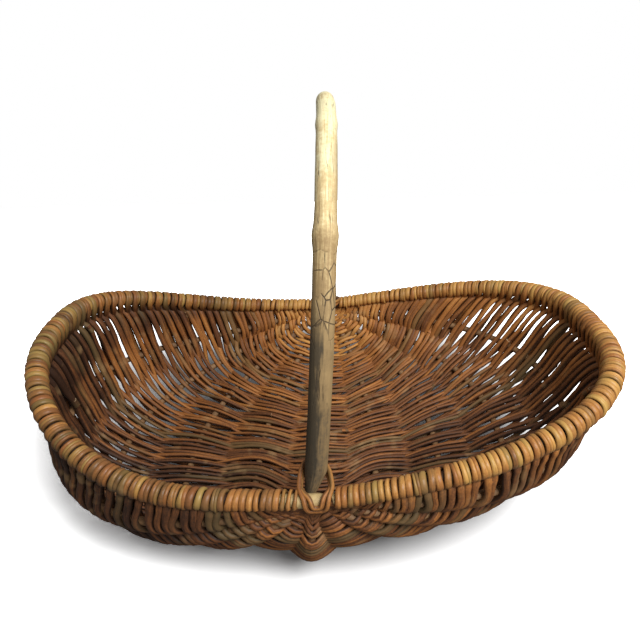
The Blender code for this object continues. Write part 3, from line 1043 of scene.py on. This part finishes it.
    def edge_share(self, row: int, rod: int) -> float:
        """Share of the rim where a row meets it: rows meet it in pairs, either side of a turn."""
        starts = (row % 2 == 0) == (rod == RIGHT_RIM)
        return (row + (self.turn_gap if starts else 1 - self.turn_gap)) / self.rows

    def keel_place(self, row: int) -> float:
        """Place where a row crosses the keel: the rows stand apart mid floor and fan out from the ears."""
        counted = (row + 0.5) / self.rows
        share = float(np.interp(counted, self.keel_counted, self.shares))
        away = abs(share - 0.5) * 2
        drawn = 0.5 + math.copysign(away * (1 + self.keel_spread * (1 - away)), share - 0.5) / 2
        drawn += (self.front_fan * self.swell(counted / self.front_fan_reach)
                  - self.rear_fan * self.swell((1 - counted) / self.rear_fan_reach))
        return float(self.rod_place(KEEL, drawn))

    def wrap_pitch(self, share: float) -> float:
        """Width of a wrap on the rim at a share of the rows."""
        return self.front_wrap_pitch + (self.rear_wrap_pitch - self.front_wrap_pitch) * float(ease(share * 2))

    def crossing_place(self, row: int, rod: int) -> float:
        """Place where a row crosses a rib.

        Args:
            row: number of the row.
            rod: number of the rib.

        Returns:
            The place on the rib.
        """
        rim = LEFT_RIM if rod < KEEL else RIGHT_RIM
        share = (row + 0.5) / self.rows
        edge = float(self.rim_place(rim, share))
        depth = 1.0 if rod == KEEL else SHAPE.rib_shares[min(rod, RIGHT_RIM - rod) - 1]
        place = edge + (self.keel_place(row) - edge) * float(ease(depth))
        open_share = float(RODS.openness(rod, place))
        step = self.wander[row][rod] * self.row_wander * (0.3 + 0.7 * open_share)
        lean = self.front_lean + (self.rear_lean - self.front_lean) * share
        lean *= 1 - float(rise(share, *self.lean_fades))
        step += lean * math.sin(math.pi * depth ** self.lean_power) * open_share
        return float(RODS.place_of_length(rod, RODS.length(rod, place) + step))

    @staticmethod
    def passing_side(row: int, rod: int) -> int:
        """Side on which a row passes a rib: 1 outside it and -1 inside it, by turns."""
        return 1 if (row + rod) % 2 == 0 else -1

    def crossing(self, row: int, rod: int) -> tuple[Array, Array]:
        """Point where a row passes a rib, inside or outside it, and the direction out of the bowl there."""
        place = np.array([self.crossing_place(row, rod)])
        out = RODS.out(rod, place)[0]
        reach = SHAPE.rib_radius + self.strand_radius * self.pass_share
        reach = reach * float(RODS.openness(rod, place[0])) + self.pass_gap
        return RODS.middle(rod, place)[0] + out * self.passing_side(row, rod) * reach, out

    def shoulder(self, row: int, rim: int) -> tuple[Array, Array]:
        """Point where a row passes just under a rim, and the way out of the bowl there.

        Args:
            row: number of the row.
            rim: number of the rim's rod.

        Returns:
            The point and the direction.
        """
        rod = 1 if rim == LEFT_RIM else RIGHT_RIM - 1
        share = (row + 0.5 + self.shoulder_wander * self.wander[row][rim]) / self.rows
        top = RODS.middle(rim, np.array([float(self.rim_place(rim, share))]))[0]
        below, out = self.crossing(row, rod)
        reach = self.shoulder_out + self.shoulder_sway * self.passing_side(row, rod)
        return top + (below - top) * self.shoulder_share + out * reach, out

    def turn(self, row: int) -> Leg:
        """Wraps round the rim rod between a row and the next.

        Args:
            row: number of the row.

        Returns:
            The wraps.
        """
        rod = RIGHT_RIM if row % 2 == 0 else LEFT_RIM
        hand = 1 if rod == RIGHT_RIM else -1
        start = self.edge_share(row, rod)
        end = self.edge_share(row + 1, rod) if row + 1 < self.rows else start + 1.5 / self.rows
        first, last = (RODS.length(rod, float(self.rim_place(rod, share))) for share in (start, end))
        run = last - first
        room = run / (1 - self.turn_gap)
        jitter = self.rng.uniform(-self.turn_jitter, self.turn_jitter)
        whole = max(0, round(room / self.wrap_pitch(start) - 1 + jitter))
        wraps = whole + 0.5
        count = int(wraps * self.wrap_points)
        shares = np.linspace(0, 1, count + 1)
        angles = shares * wraps * 2 * math.pi
        stray = waves(shares * run, self.rng, self.wrap_waves) * np.sin(shares * math.pi)
        stray = stray * self.wrap_wander / wraps
        places = self.rim_place(rod, start + (end - start) * (shares + stray))
        out = RODS.out(rod, places) * hand
        down = RODS.right(rod, places) * -hand
        spokes = out * np.cos(angles)[:, None] - down * np.sin(angles)[:, None]
        lift = self.wrap_unevenness * waves(shares * run, self.rng, self.unevenness_waves)
        radius = SHAPE.rim_rod_radius + self.strand_radius * self.wrap_seat + lift
        points = RODS.middle(rod, places) + spokes * radius[:, None]
        half = min(room / (whole + 1), self.widest_wrap * self.rng.uniform(0.9, 1.1)) / 2
        if rod == LEFT_RIM and row < 2 * self.thin_turns:
            half *= self.thin_share
        return Leg(points, spokes, np.full(count + 1, half))

    def span(self, row: int, start: Leg, end: Leg) -> Leg:
        """Run of a row over and under the ribs from the wraps on one rim to the wraps on the other.

        Args:
            row: number of the row.
            start: wraps that it comes from.
            end: wraps that it goes to.

        Returns:
            The run.
        """
        rods = range(1, RIGHT_RIM) if row % 2 == 0 else range(RIGHT_RIM - 1, 0, -1)
        rims = (LEFT_RIM, RIGHT_RIM) if row % 2 == 0 else (RIGHT_RIM, LEFT_RIM)
        crossings = [self.crossing(row, rod) for rod in rods]
        crossings = [self.shoulder(row, rims[0]), *crossings, self.shoulder(row, rims[1])]
        points = [start.points[-1], *(p for p, _ in crossings), end.points[0]]
        faces = [start.faces[-1], *(f for _, f in crossings), end.faces[0]]
        runs = [unit(start.points[-1] - start.points[-2])]
        for before, after, face in zip(points, points[2:], faces[1:]):
            along = unit(after - before)
            runs.append(unit(along - face * along.dot(face)))
        runs.append(unit(end.points[1] - end.points[0]))
        bends = []
        for rod in rods:
            least = self.keel_bend if rod == KEEL else self.rib_bend
            bends.append(least + (1 - least) * float(RODS.openness(rod, self.crossing_place(row, rod))))
        bends = [1.0, bends[0], *bends, bends[-1], 1.0]
        line, turned = [], []
        face = faces[0]
        for i in range(len(points) - 1):
            chord = float(np.linalg.norm(points[i + 1] - points[i]))
            count = max(2, round(chord / self.span_step))
            following = faces[i + 1] * (1 if face.dot(faces[i + 1]) >= 0 else -1)
            for k in range(0 if i else 1, count):
                share = k / count
                at_start, at_end, from_start, from_end = curve_weights(share)
                line.append(points[i] * at_start + points[i + 1] * at_end
                            + runs[i] * chord * bends[i] * from_start
                            + runs[i + 1] * chord * bends[i + 1] * from_end)
                turned.append(unit(face * (1 - share) + following * share))
            face = following
        return Leg(np.array(line), np.array(turned), np.zeros(len(line)))

    def line(self) -> tuple[Leg, Array]:
        """The whole line of weaving.

        Returns:
            Its stretches as one, and the row that each point belongs to.
        """
        turns = [self.turn(row) for row in range(self.rows)]
        places = self.rim_place(LEFT_RIM, np.array([0.0, 0.3]) / self.rows)
        out = RODS.out(LEFT_RIM, places)
        reach = SHAPE.rim_rod_radius + self.strand_radius
        before = Leg(RODS.middle(LEFT_RIM, places) + out * reach, out, np.zeros(2))
        legs, rows = [], []
        for row, turn in enumerate(turns):
            for leg in (self.span(row, before, turn), turn):
                legs.append(leg)
                rows.append(np.full(len(leg.points), row))
            before = turn
        whole = Leg(np.concatenate([leg.points for leg in legs]), np.concatenate([leg.faces for leg in legs]),
                    np.concatenate([leg.wrap for leg in legs]))
        return whole, np.concatenate(rows)

    def build(self, bark: Material, cut: Material) -> list[bpy.types.Object]:
        """Weave the sides and gather them in the eight bands.

        Args:
            bark: finish of the strands.
            cut: finish of their cut ends.

        Returns:
            The eight pieces.
        """
        bands = [Bundle(name.replace("weave", "willow"), BARK_MARKS) for name in BANDS]
        borders = [RODS.place(share) for share in SHAPE.border_shares]
        whole, rows = self.line()
        total = len(whole.points)
        lengths = lengths_of(whole.points)
        start = 0
        while start < total - self.least_points:
            wanted = lengths[start] + self.rng.uniform(self.least_weaver, self.most_weaver)
            end = int(np.searchsorted(lengths, wanted))
            end = total if total - end < self.last_points else end
            middle_row = float(rows[start:end].mean())
            place = float(self.rim_place(RIGHT_RIM, (middle_row + 0.5) / self.rows))
            piece = Leg(whole.points[start:end].copy(), whole.faces[start:end], whole.wrap[start:end])
            bands[sum(place > border for border in borders)].add(self.weaver(piece))
            start = max(end - self.overlap_points, start + 1) if end < total else end
        return [band.finish("weave", bark, cut, (name,)) for band, name in zip(bands, BANDS)]

    def thickness(self, points: Array, lengths: Array, to_ear: Array) -> Array:
        """Radius along a weaver: thicker at its butt and its buds, thinner on the floor and at the ears.

        Args:
            points: points of the weaver.
            lengths: length along it at each point.
            to_ear: distance from each point to the nearer ear.

        Returns:
            The radius at each point.
        """
        share = lengths / lengths[-1]
        if self.rng.random() < 0.5:
            share = 1 - share
        radius = self.butt_radius + (self.tip_radius - self.butt_radius) * share
        radius = radius * (self.floor_share + (1 - self.floor_share) * rise(points[:, 2], *self.floor_span))
        radius = radius * (self.ear_share + (1 - self.ear_share) * rise(to_ear, *self.ear_span))
        radius = radius * (1 + self.radius_wander * waves(lengths, self.rng, self.radius_waves))
        for place in np.arange(self.rng.uniform(*self.bud_first), lengths[-1], self.bud_pitch):
            strayed = lengths - place - self.rng.uniform(-self.bud_wander, self.bud_wander)
            away = strayed / self.bud_reach
            radius = radius * (1 + self.bud_swell * np.exp(-away * away))
        return radius

    def weaver(self, piece: Leg) -> Strand:
        """One willow strand, flat where it is wrapped on the rim, its ends poking inward.

        Args:
            piece: the stretch of the line that it takes.

        Returns:
            The strand.
        """
        points, wrap = piece.points, piece.wrap
        lengths = lengths_of(points)
        poke = 1 - rise(np.minimum(lengths, lengths[-1] - lengths), 0.0, self.end_length)
        inward = unit(np.array([0.0, 0.0, SHAPE.lift]) - points)
        points += inward * (poke * self.end_reach * (wrap == 0))[:, None]
        to_ear = np.hypot(points[:, 0], SHAPE.half_width - np.abs(points[:, 1]))
        radius = self.thickness(points, lengths, to_ear)
        # A strand's tone is random, plus the painted light and shade of the place where it lies.
        tone = self.rng.uniform(self.least_tone, self.most_tone) + self.painted_light_and_shade.shift(points)
        tint = self.rng.random()
        on_rim = spread_out(wrap > 0, 3)
        near_rim = ease(2 * spread_out(wrap > 0, 6))
        half = np.where(wrap > 0, wrap, np.interp(lengths, lengths[wrap > 0], wrap[wrap > 0]))
        marks = {
            "tone": (tone + self.tone_wander * waves(lengths, self.rng, self.tone_waves)
                     + self.wrap_tone_wander * on_rim * waves(lengths, self.rng, self.wrap_tone_waves)),
            "along": lengths + self.rng.uniform(0, 50),
            "wrap": on_rim,
            "tint": np.full(len(points), tint),
        }
        half = half * (1 + self.wrap_width_wander * waves(lengths, self.rng, self.wrap_width_waves))
        walls = rise(points[:, 2], *self.wall_span) * rise(to_ear, *self.wall_ear_span)
        flat = self.floor_width + (self.wall_width - self.floor_width) * walls
        slack = rise(points[:, 0], *self.slack_out_span) * rise(points[:, 2], *self.slack_up_span)
        flat = flat + self.under_rim * near_rim - self.right_slack * slack * (1 - near_rim)
        wrapped = half * self.wrap_fill * (radius / radius.mean()) ** 0.5
        wide = radius * flat * (1 - on_rim) + wrapped * on_rim
        thick = radius * self.flatness * (1 - on_rim) + self.strand_radius * self.wrap_flatness * on_rim
        return Strand(points, piece.faces, thick, wide, marks)


@dataclass
class Ribs:
    """The nine ribs, tapered where they run in at the ears."""

    samples: int = 150
    sides: int = 12
    first_share: float = 0.035
    last_share: float = 0.955
    ear_share: float = 0.4
    radius_wander: float = 0.04
    radius_waves: tuple[float, float] = (0.09, 0.035)

    def build(self, skin: Material, cut: Material) -> bpy.types.Object:
        """Sweep the ribs.

        Args:
            skin: finish of the ribs.
            cut: finish of their cut ends.

        Returns:
            The piece.
        """
        bundle = Bundle("ribs", BARK_MARKS)
        rng = random.Random(WORK_SEED + 1)
        places = np.linspace(RODS.place(self.first_share), RODS.place(self.last_share), self.samples)
        for rod in range(1, RIGHT_RIM):
            middles = RODS.middle(rod, places)
            lengths = lengths_of(middles)
            radius = SHAPE.rib_radius * (self.ear_share + (1 - self.ear_share) * RODS.openness(rod, places))
            radius = radius * (1 + self.radius_wander * waves(lengths, rng, self.radius_waves))
            marks = {"tone": np.full(len(places), rng.uniform(0.4, 0.7)), "along": lengths + rod,
                     "tint": np.full(len(places), 0.3)}
            bundle.add(Strand(middles, RODS.out(rod, places), radius, radius, marks, sides=self.sides))
        names = tuple(n for n in sorted(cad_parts) if n.startswith("rib_") or n == "keel_rib")
        return bundle.finish("rib", skin, cut, names)


@dataclass
class RimRod:
    """The peeled rod under the wraps, whose left end shows at the front ear; under the wraps it gets the
    darker bark finish, painted shade for the gaps between wraps.
    """

    samples: int = 120
    sides: int = 16
    peeled_reach: float = 0.06
    left_end_x: float = -0.0045
    right_end_x: float = 0.004
    left_bend_x: float = -0.012
    right_bend_x: float = 0.009
    end_steps: tuple[float, ...] = (0.004, 0.001, 0.0)
    end_shares: tuple[float, float] = (0.92, 0.72)

    def build(self, bark: Material, peeled: Material) -> bpy.types.Object:
        """Sweep the rod from its end on the right, round the rear, to its end on the left.

        Args:
            bark: finish of the rod under the wraps, darker than its peeled wood, so the gaps between wraps
                show painted shade.
            peeled: finish of its ends, where it shows.

        Returns:
            The piece.
        """
        places = RODS.FIRST + (2 - 2 * RODS.FIRST) * np.linspace(0.0, 1.0, self.samples)
        right = RODS.middle(RIGHT_RIM, places)
        left = RODS.middle(LEFT_RIM, places)[::-1]
        start = np.array([[self.right_end_x, -SHAPE.half_width, SHAPE.lift]])
        end = np.array([[self.left_end_x - step, -SHAPE.half_width, SHAPE.lift] for step in self.end_steps])
        middles = np.concatenate([start, right[right[:, 0] > self.right_bend_x],
                                  left[left[:, 0] < self.left_bend_x], end])
        lengths = lengths_of(middles)
        radius = np.full(len(middles), SHAPE.rim_rod_radius)
        radius[-2:] *= self.end_shares
        up = np.tile(np.array([0.0, 0.0, 1.0]), (len(middles), 1))
        bundle = Bundle("peeled_rim_rod", BARK_MARKS)
        bundle.add(Strand(middles, up, radius, radius, {"along": lengths}, sides=self.sides))
        rod = bundle.finish("rim_rod", bark, peeled, ("rim_rod",))
        for face in rod.data.polygons:
            if face.center.y < -0.9 * SHAPE.half_width and abs(face.center.x) < self.peeled_reach:
                face.material_index = CUT
        return rod


@dataclass
class EarLashings:
    """Strands that tie the handle's feet to the rim rod."""

    turns: int = 2
    turn_points: int = 40
    radius: float = 0.0021
    flatness: float = 1.1
    drawn_in: float = 0.58
    drawn_to: float = 0.001
    tight_turns: float = 1.1
    later_turns: float = 0.45
    hug: float = 0.7
    over_rod: float = 0.014
    over_rod_start: float = 0.006
    hub_height: float = 0.004
    marks: tuple[tuple[str, float], ...] = (("tone", 0.44), ("wrap", 0.5), ("tint", 0.3))

    def build(self, end: End, skin: Material, cut: Material) -> bpy.types.Object:
        """Wind one ear's lashing.

        Args:
            end: the ear.
            skin: finish of the strand.
            cut: finish of its cut ends.

        Returns:
            The piece.
        """
        name = "front_lashing" if end is End.FRONT else "rear_lashing"
        bundle = Bundle(f"{name}_willow", BARK_MARKS)
        turned = np.arange(self.turns * self.turn_points + 1) / self.turn_points
        middles = np.array([tuple(SHAPE.lashing_point(end.value, turn)) for turn in turned])
        foot_x = SHAPE.leg_x(end.value, SHAPE.foot_tip_length)
        over = rise(np.abs(middles[:, 1]), SHAPE.half_width - self.over_rod_start, self.over_rod)
        tight = self.later_turns + (1 - self.later_turns) * ease(2 * (self.tight_turns - turned))
        spread = SHAPE.lashing_pitch * turned
        reach = SHAPE.foot_diameter / 2 + SHAPE.clearance + self.radius + spread
        middles[:, 0] -= (middles[:, 0] - foot_x) * self.hug * spread / reach
        middles[:, 0] -= (middles[:, 0] - foot_x - self.drawn_to) * over * self.drawn_in * tight
        hub_x = SHAPE.leg_x(end.value, SHAPE.foot_diameter)
        hub_y = end.value * (SHAPE.foot_y() + SHAPE.foot_diameter / 2)
        hub = np.array([hub_x, hub_y, SHAPE.lift + self.hub_height])
        radius = np.full(len(turned), self.radius)
        marks = {mark: np.full(len(turned), value) for mark, value in self.marks}
        marks["along"] = lengths_of(middles)
        bundle.add(Strand(middles, middles - hub, radius, radius * self.flatness, marks))
        return bundle.finish("lashing", skin, cut, (name,))


@dataclass
class BowHandle:
    """The bent branch: thicker at the feet, swollen at its knots, its feet whittled to a point."""

    samples: int = 150
    sides: int = 28
    diameter: float = 0.0178
    tip: float = 0.007
    foot_length: float = 0.026
    foot_samples: int = 8
    foot_power: float = 0.75
    foot_slant: float = 0.75
    foot_crowding: float = 0.05
    knots: tuple[tuple[float, float], ...] = ((0.235, 1.0), (0.40, 0.55), (0.66, 0.8))
    knot_reach: float = 0.012
    knot_swell: float = 0.0016
    radius_wander: float = 0.015
    radius_waves: tuple[float, float] = (0.07, 0.031)

    def radius(self, share: float) -> float:
        """Radius of the branch at a share of its run."""
        towards_foot = abs(math.cos(math.pi * share))
        radius = (self.diameter + (SHAPE.foot_diameter - self.diameter) * towards_foot ** 2) / 2
        for place, swell in self.knots:
            away = (share - place) / self.knot_reach
            radius += self.knot_swell * swell * math.exp(-away * away)
        return radius

    def foot(self, end: int) -> list[tuple[float, float, float, float]]:
        """Whittled foot of the branch.

        Args:
            end: -1 for the front foot, 1 for the rear foot.

        Returns:
            Middles and radii from the tip upwards.
        """
        rings = []
        for share in np.linspace(0.0, 1.0, self.foot_samples):
            height = share * self.foot_length
            diameter = self.tip + (SHAPE.foot_diameter - self.tip) * share ** self.foot_power
            cut = (SHAPE.foot_diameter - diameter) / 2
            x = SHAPE.leg_x(end, height) - cut * self.foot_slant
            z = height - SHAPE.foot_drop + SHAPE.lift
            rings.append((x, end * (SHAPE.foot_y() + cut), z, diameter / 2))
        return rings

    def build(self, skin: Material, cut: Material) -> bpy.types.Object:
        """Sweep the branch and whittle its feet.

        Args:
            skin: finish of the branch.
            cut: finish of its cut ends.

        Returns:
            The piece.
        """
        bundle = Bundle("bent_branch", ("along", "across", "depth", "height"))
        shares = np.linspace(0.0, 1.0, self.samples)
        shares = shares + self.foot_crowding * np.sin(shares * 2 * math.pi) / (2 * math.pi)
        bow = [(*SHAPE.handle_point(share), self.radius(share)) for share in shares]
        bow = [ring for ring in bow if ring[2] > SHAPE.lift + self.foot_length]
        rings = np.array([*self.foot(-1), *bow, *self.foot(1)[::-1]])
        middles, radius = rings[:, :3], rings[:, 3]
        lengths = lengths_of(middles)
        rng = random.Random(WORK_SEED + 2)
        radius = radius * (1 + self.radius_wander * waves(lengths, rng, self.radius_waves))
        marks = {"along": lengths, "height": middles[:, 2]}
        faces = np.tile(np.array([1.0, 0.0, 0.0]), (len(middles), 1))
        bundle.add(Strand(middles, faces, radius, radius, marks, sides=self.sides))
        return bundle.finish("handle", skin, cut, ("handle_bow",))


@dataclass
class Studio:
    """Pale floor, soft light and the camera."""

    camera_place: Point = (-0.0038, -0.5744, 0.4809)
    camera_tilt: float = 64.0
    camera_roll: float = -1.5
    lens: float = 31.5
    sensor: float = 36.0
    nearest: float = 0.01
    window_place: Point = (0.55, -0.85, 1.20)
    window_target: Point = (0.0, 0.0, 0.05)
    window_size: float = 0.7
    window_power: float = 22.5
    room_light: float = 0.27
    floor_half: float = 1.35
    floor_drop: float = 0.0005
    floor_paper: float = 0.16
    shadow_middle: Point = (0.0, -0.11, 0.0)

    def build(self) -> None:
        """Set up the stage."""
        bpy.context.scene.view_settings.view_transform = "Standard"
        self.floor()
        self.window()
        self.room()
        self.camera()

    def room(self) -> None:
        """Light from all sides, dimmer than the white that the camera sees behind the basket."""
        world = bpy.data.worlds.new("studio")
        bpy.context.scene.world = world
        world.use_nodes = True
        tree = world.node_tree
        background = tree.nodes["Background"]
        rays = tree.nodes.new("ShaderNodeLightPath")
        strength = tree.nodes.new("ShaderNodeMapRange")
        strength.inputs["To Min"].default_value = self.room_light
        strength.inputs["To Max"].default_value = 1.0
        tree.links.new(rays.outputs["Is Camera Ray"], strength.inputs["Value"])
        background.inputs["Color"].default_value = (1.0, 1.0, 1.0, 1.0)
        tree.links.new(strength.outputs["Result"], background.inputs["Strength"])

    def camera(self) -> None:
        """Stand the camera where the basket is seen from."""
        data = bpy.data.cameras.new("camera")
        data.lens = self.lens
        data.sensor_width = self.sensor
        data.clip_start = self.nearest
        camera = bpy.data.objects.new("camera", data)
        turn = Matrix.Rotation(math.radians(self.camera_tilt), 4, "X")
        turn = turn @ Matrix.Rotation(math.radians(self.camera_roll), 4, "Z")
        camera.matrix_world = Matrix.Translation(Vector(self.camera_place)) @ turn
        bpy.context.scene.collection.objects.link(camera)
        bpy.context.scene.camera = camera

    def window(self) -> None:
        """Hang a soft square light aimed at the basket."""
        data = bpy.data.lights.new("window", "AREA")
        data.size = self.window_size
        data.energy = self.window_power
        lamp = bpy.data.objects.new("window", data)
        aim = Vector(self.window_target) - Vector(self.window_place)
        lamp.rotation_mode = "QUATERNION"
        lamp.rotation_quaternion = aim.to_track_quat("-Z", "Y")
        lamp.location = self.window_place
        bpy.context.scene.collection.objects.link(lamp)

    def floor(self) -> None:
        """Lay the pale floor, which shows as white to the camera but for the basket's shadow and a painted
        shade round the basket.
        """
        mesh = bpy.data.meshes.new("floor")
        sheet = bmesh.new()
        bmesh.ops.create_grid(sheet, x_segments=1, y_segments=1, size=self.floor_half)
        sheet.to_mesh(mesh)
        sheet.free()
        floor = bpy.data.objects.new("floor", mesh)
        floor.location.z = -self.floor_drop
        bpy.context.scene.collection.objects.link(floor)
        nodes = Nodes("floor_paper")
        paper = nodes.node("ShaderNodeBsdfDiffuse")
        camera = nodes.node("ShaderNodeLightPath").outputs["Is Camera Ray"]
        away = nodes.node("ShaderNodeVectorMath", operation="LENGTH")
        behind = nodes.node("ShaderNodeVectorMath", operation="ADD")
        behind.inputs[1].default_value = self.shadow_middle
        nodes.link(nodes.place, behind.inputs[0])
        nodes.link(behind.outputs["Vector"], away.inputs[0])
        # Painted shade: to the camera the floor's colour falls to 0.5 round the basket, centred on the shadow
        # middle, and rises farther out to keep the floor white.
        camera_colour_with_painted_shade = nodes.plus(nodes.level(away.outputs["Value"], 0.24, 0.46, 0.5, 4.0),
                         nodes.level(away.outputs["Value"], 0.4, 1.3, 0.0, 5.0))
        seen = nodes.plus(nodes.times(camera, camera_colour_with_painted_shade), nodes.level(camera, 0.0, 1.0, self.floor_paper, 0.0))
        nodes.link(nodes.vector(seen, seen, seen), paper.inputs["Color"])
        nodes.link(paper.outputs["BSDF"], nodes.tree.nodes["Material Output"].inputs["Surface"])
        mesh.materials.append(nodes.material)


def main() -> None:
    """Build and dress every piece of the basket."""
    logging.basicConfig(level=logging.INFO, format="%(name)s: %(message)s")
    Studio().build()
    bark = BarkFinish().material()
    cut = PeeledFinish("cut_willow", (0.62, 0.46, 0.27), (0.36, 0.22, 0.11), 700.0).material()
    peeled = PeeledFinish("peeled_rod", (0.55, 0.40, 0.18), (0.26, 0.155, 0.06), 260.0).material()
    branch = BranchFinish().material()
    pieces = WovenSides().build(bark, cut)
    rib_wood = PeeledFinish("rib_wood", (0.34, 0.19, 0.085), (0.13, 0.065, 0.03), 300.0).material()
    pieces.append(Ribs().build(rib_wood, cut))
    pieces.append(RimRod().build(bark, peeled))
    for end in End:
        pieces.append(EarLashings().build(end, bark, cut))
    pieces.append(BowHandle().build(branch, cut))


if __name__ == "__main__":
    main()
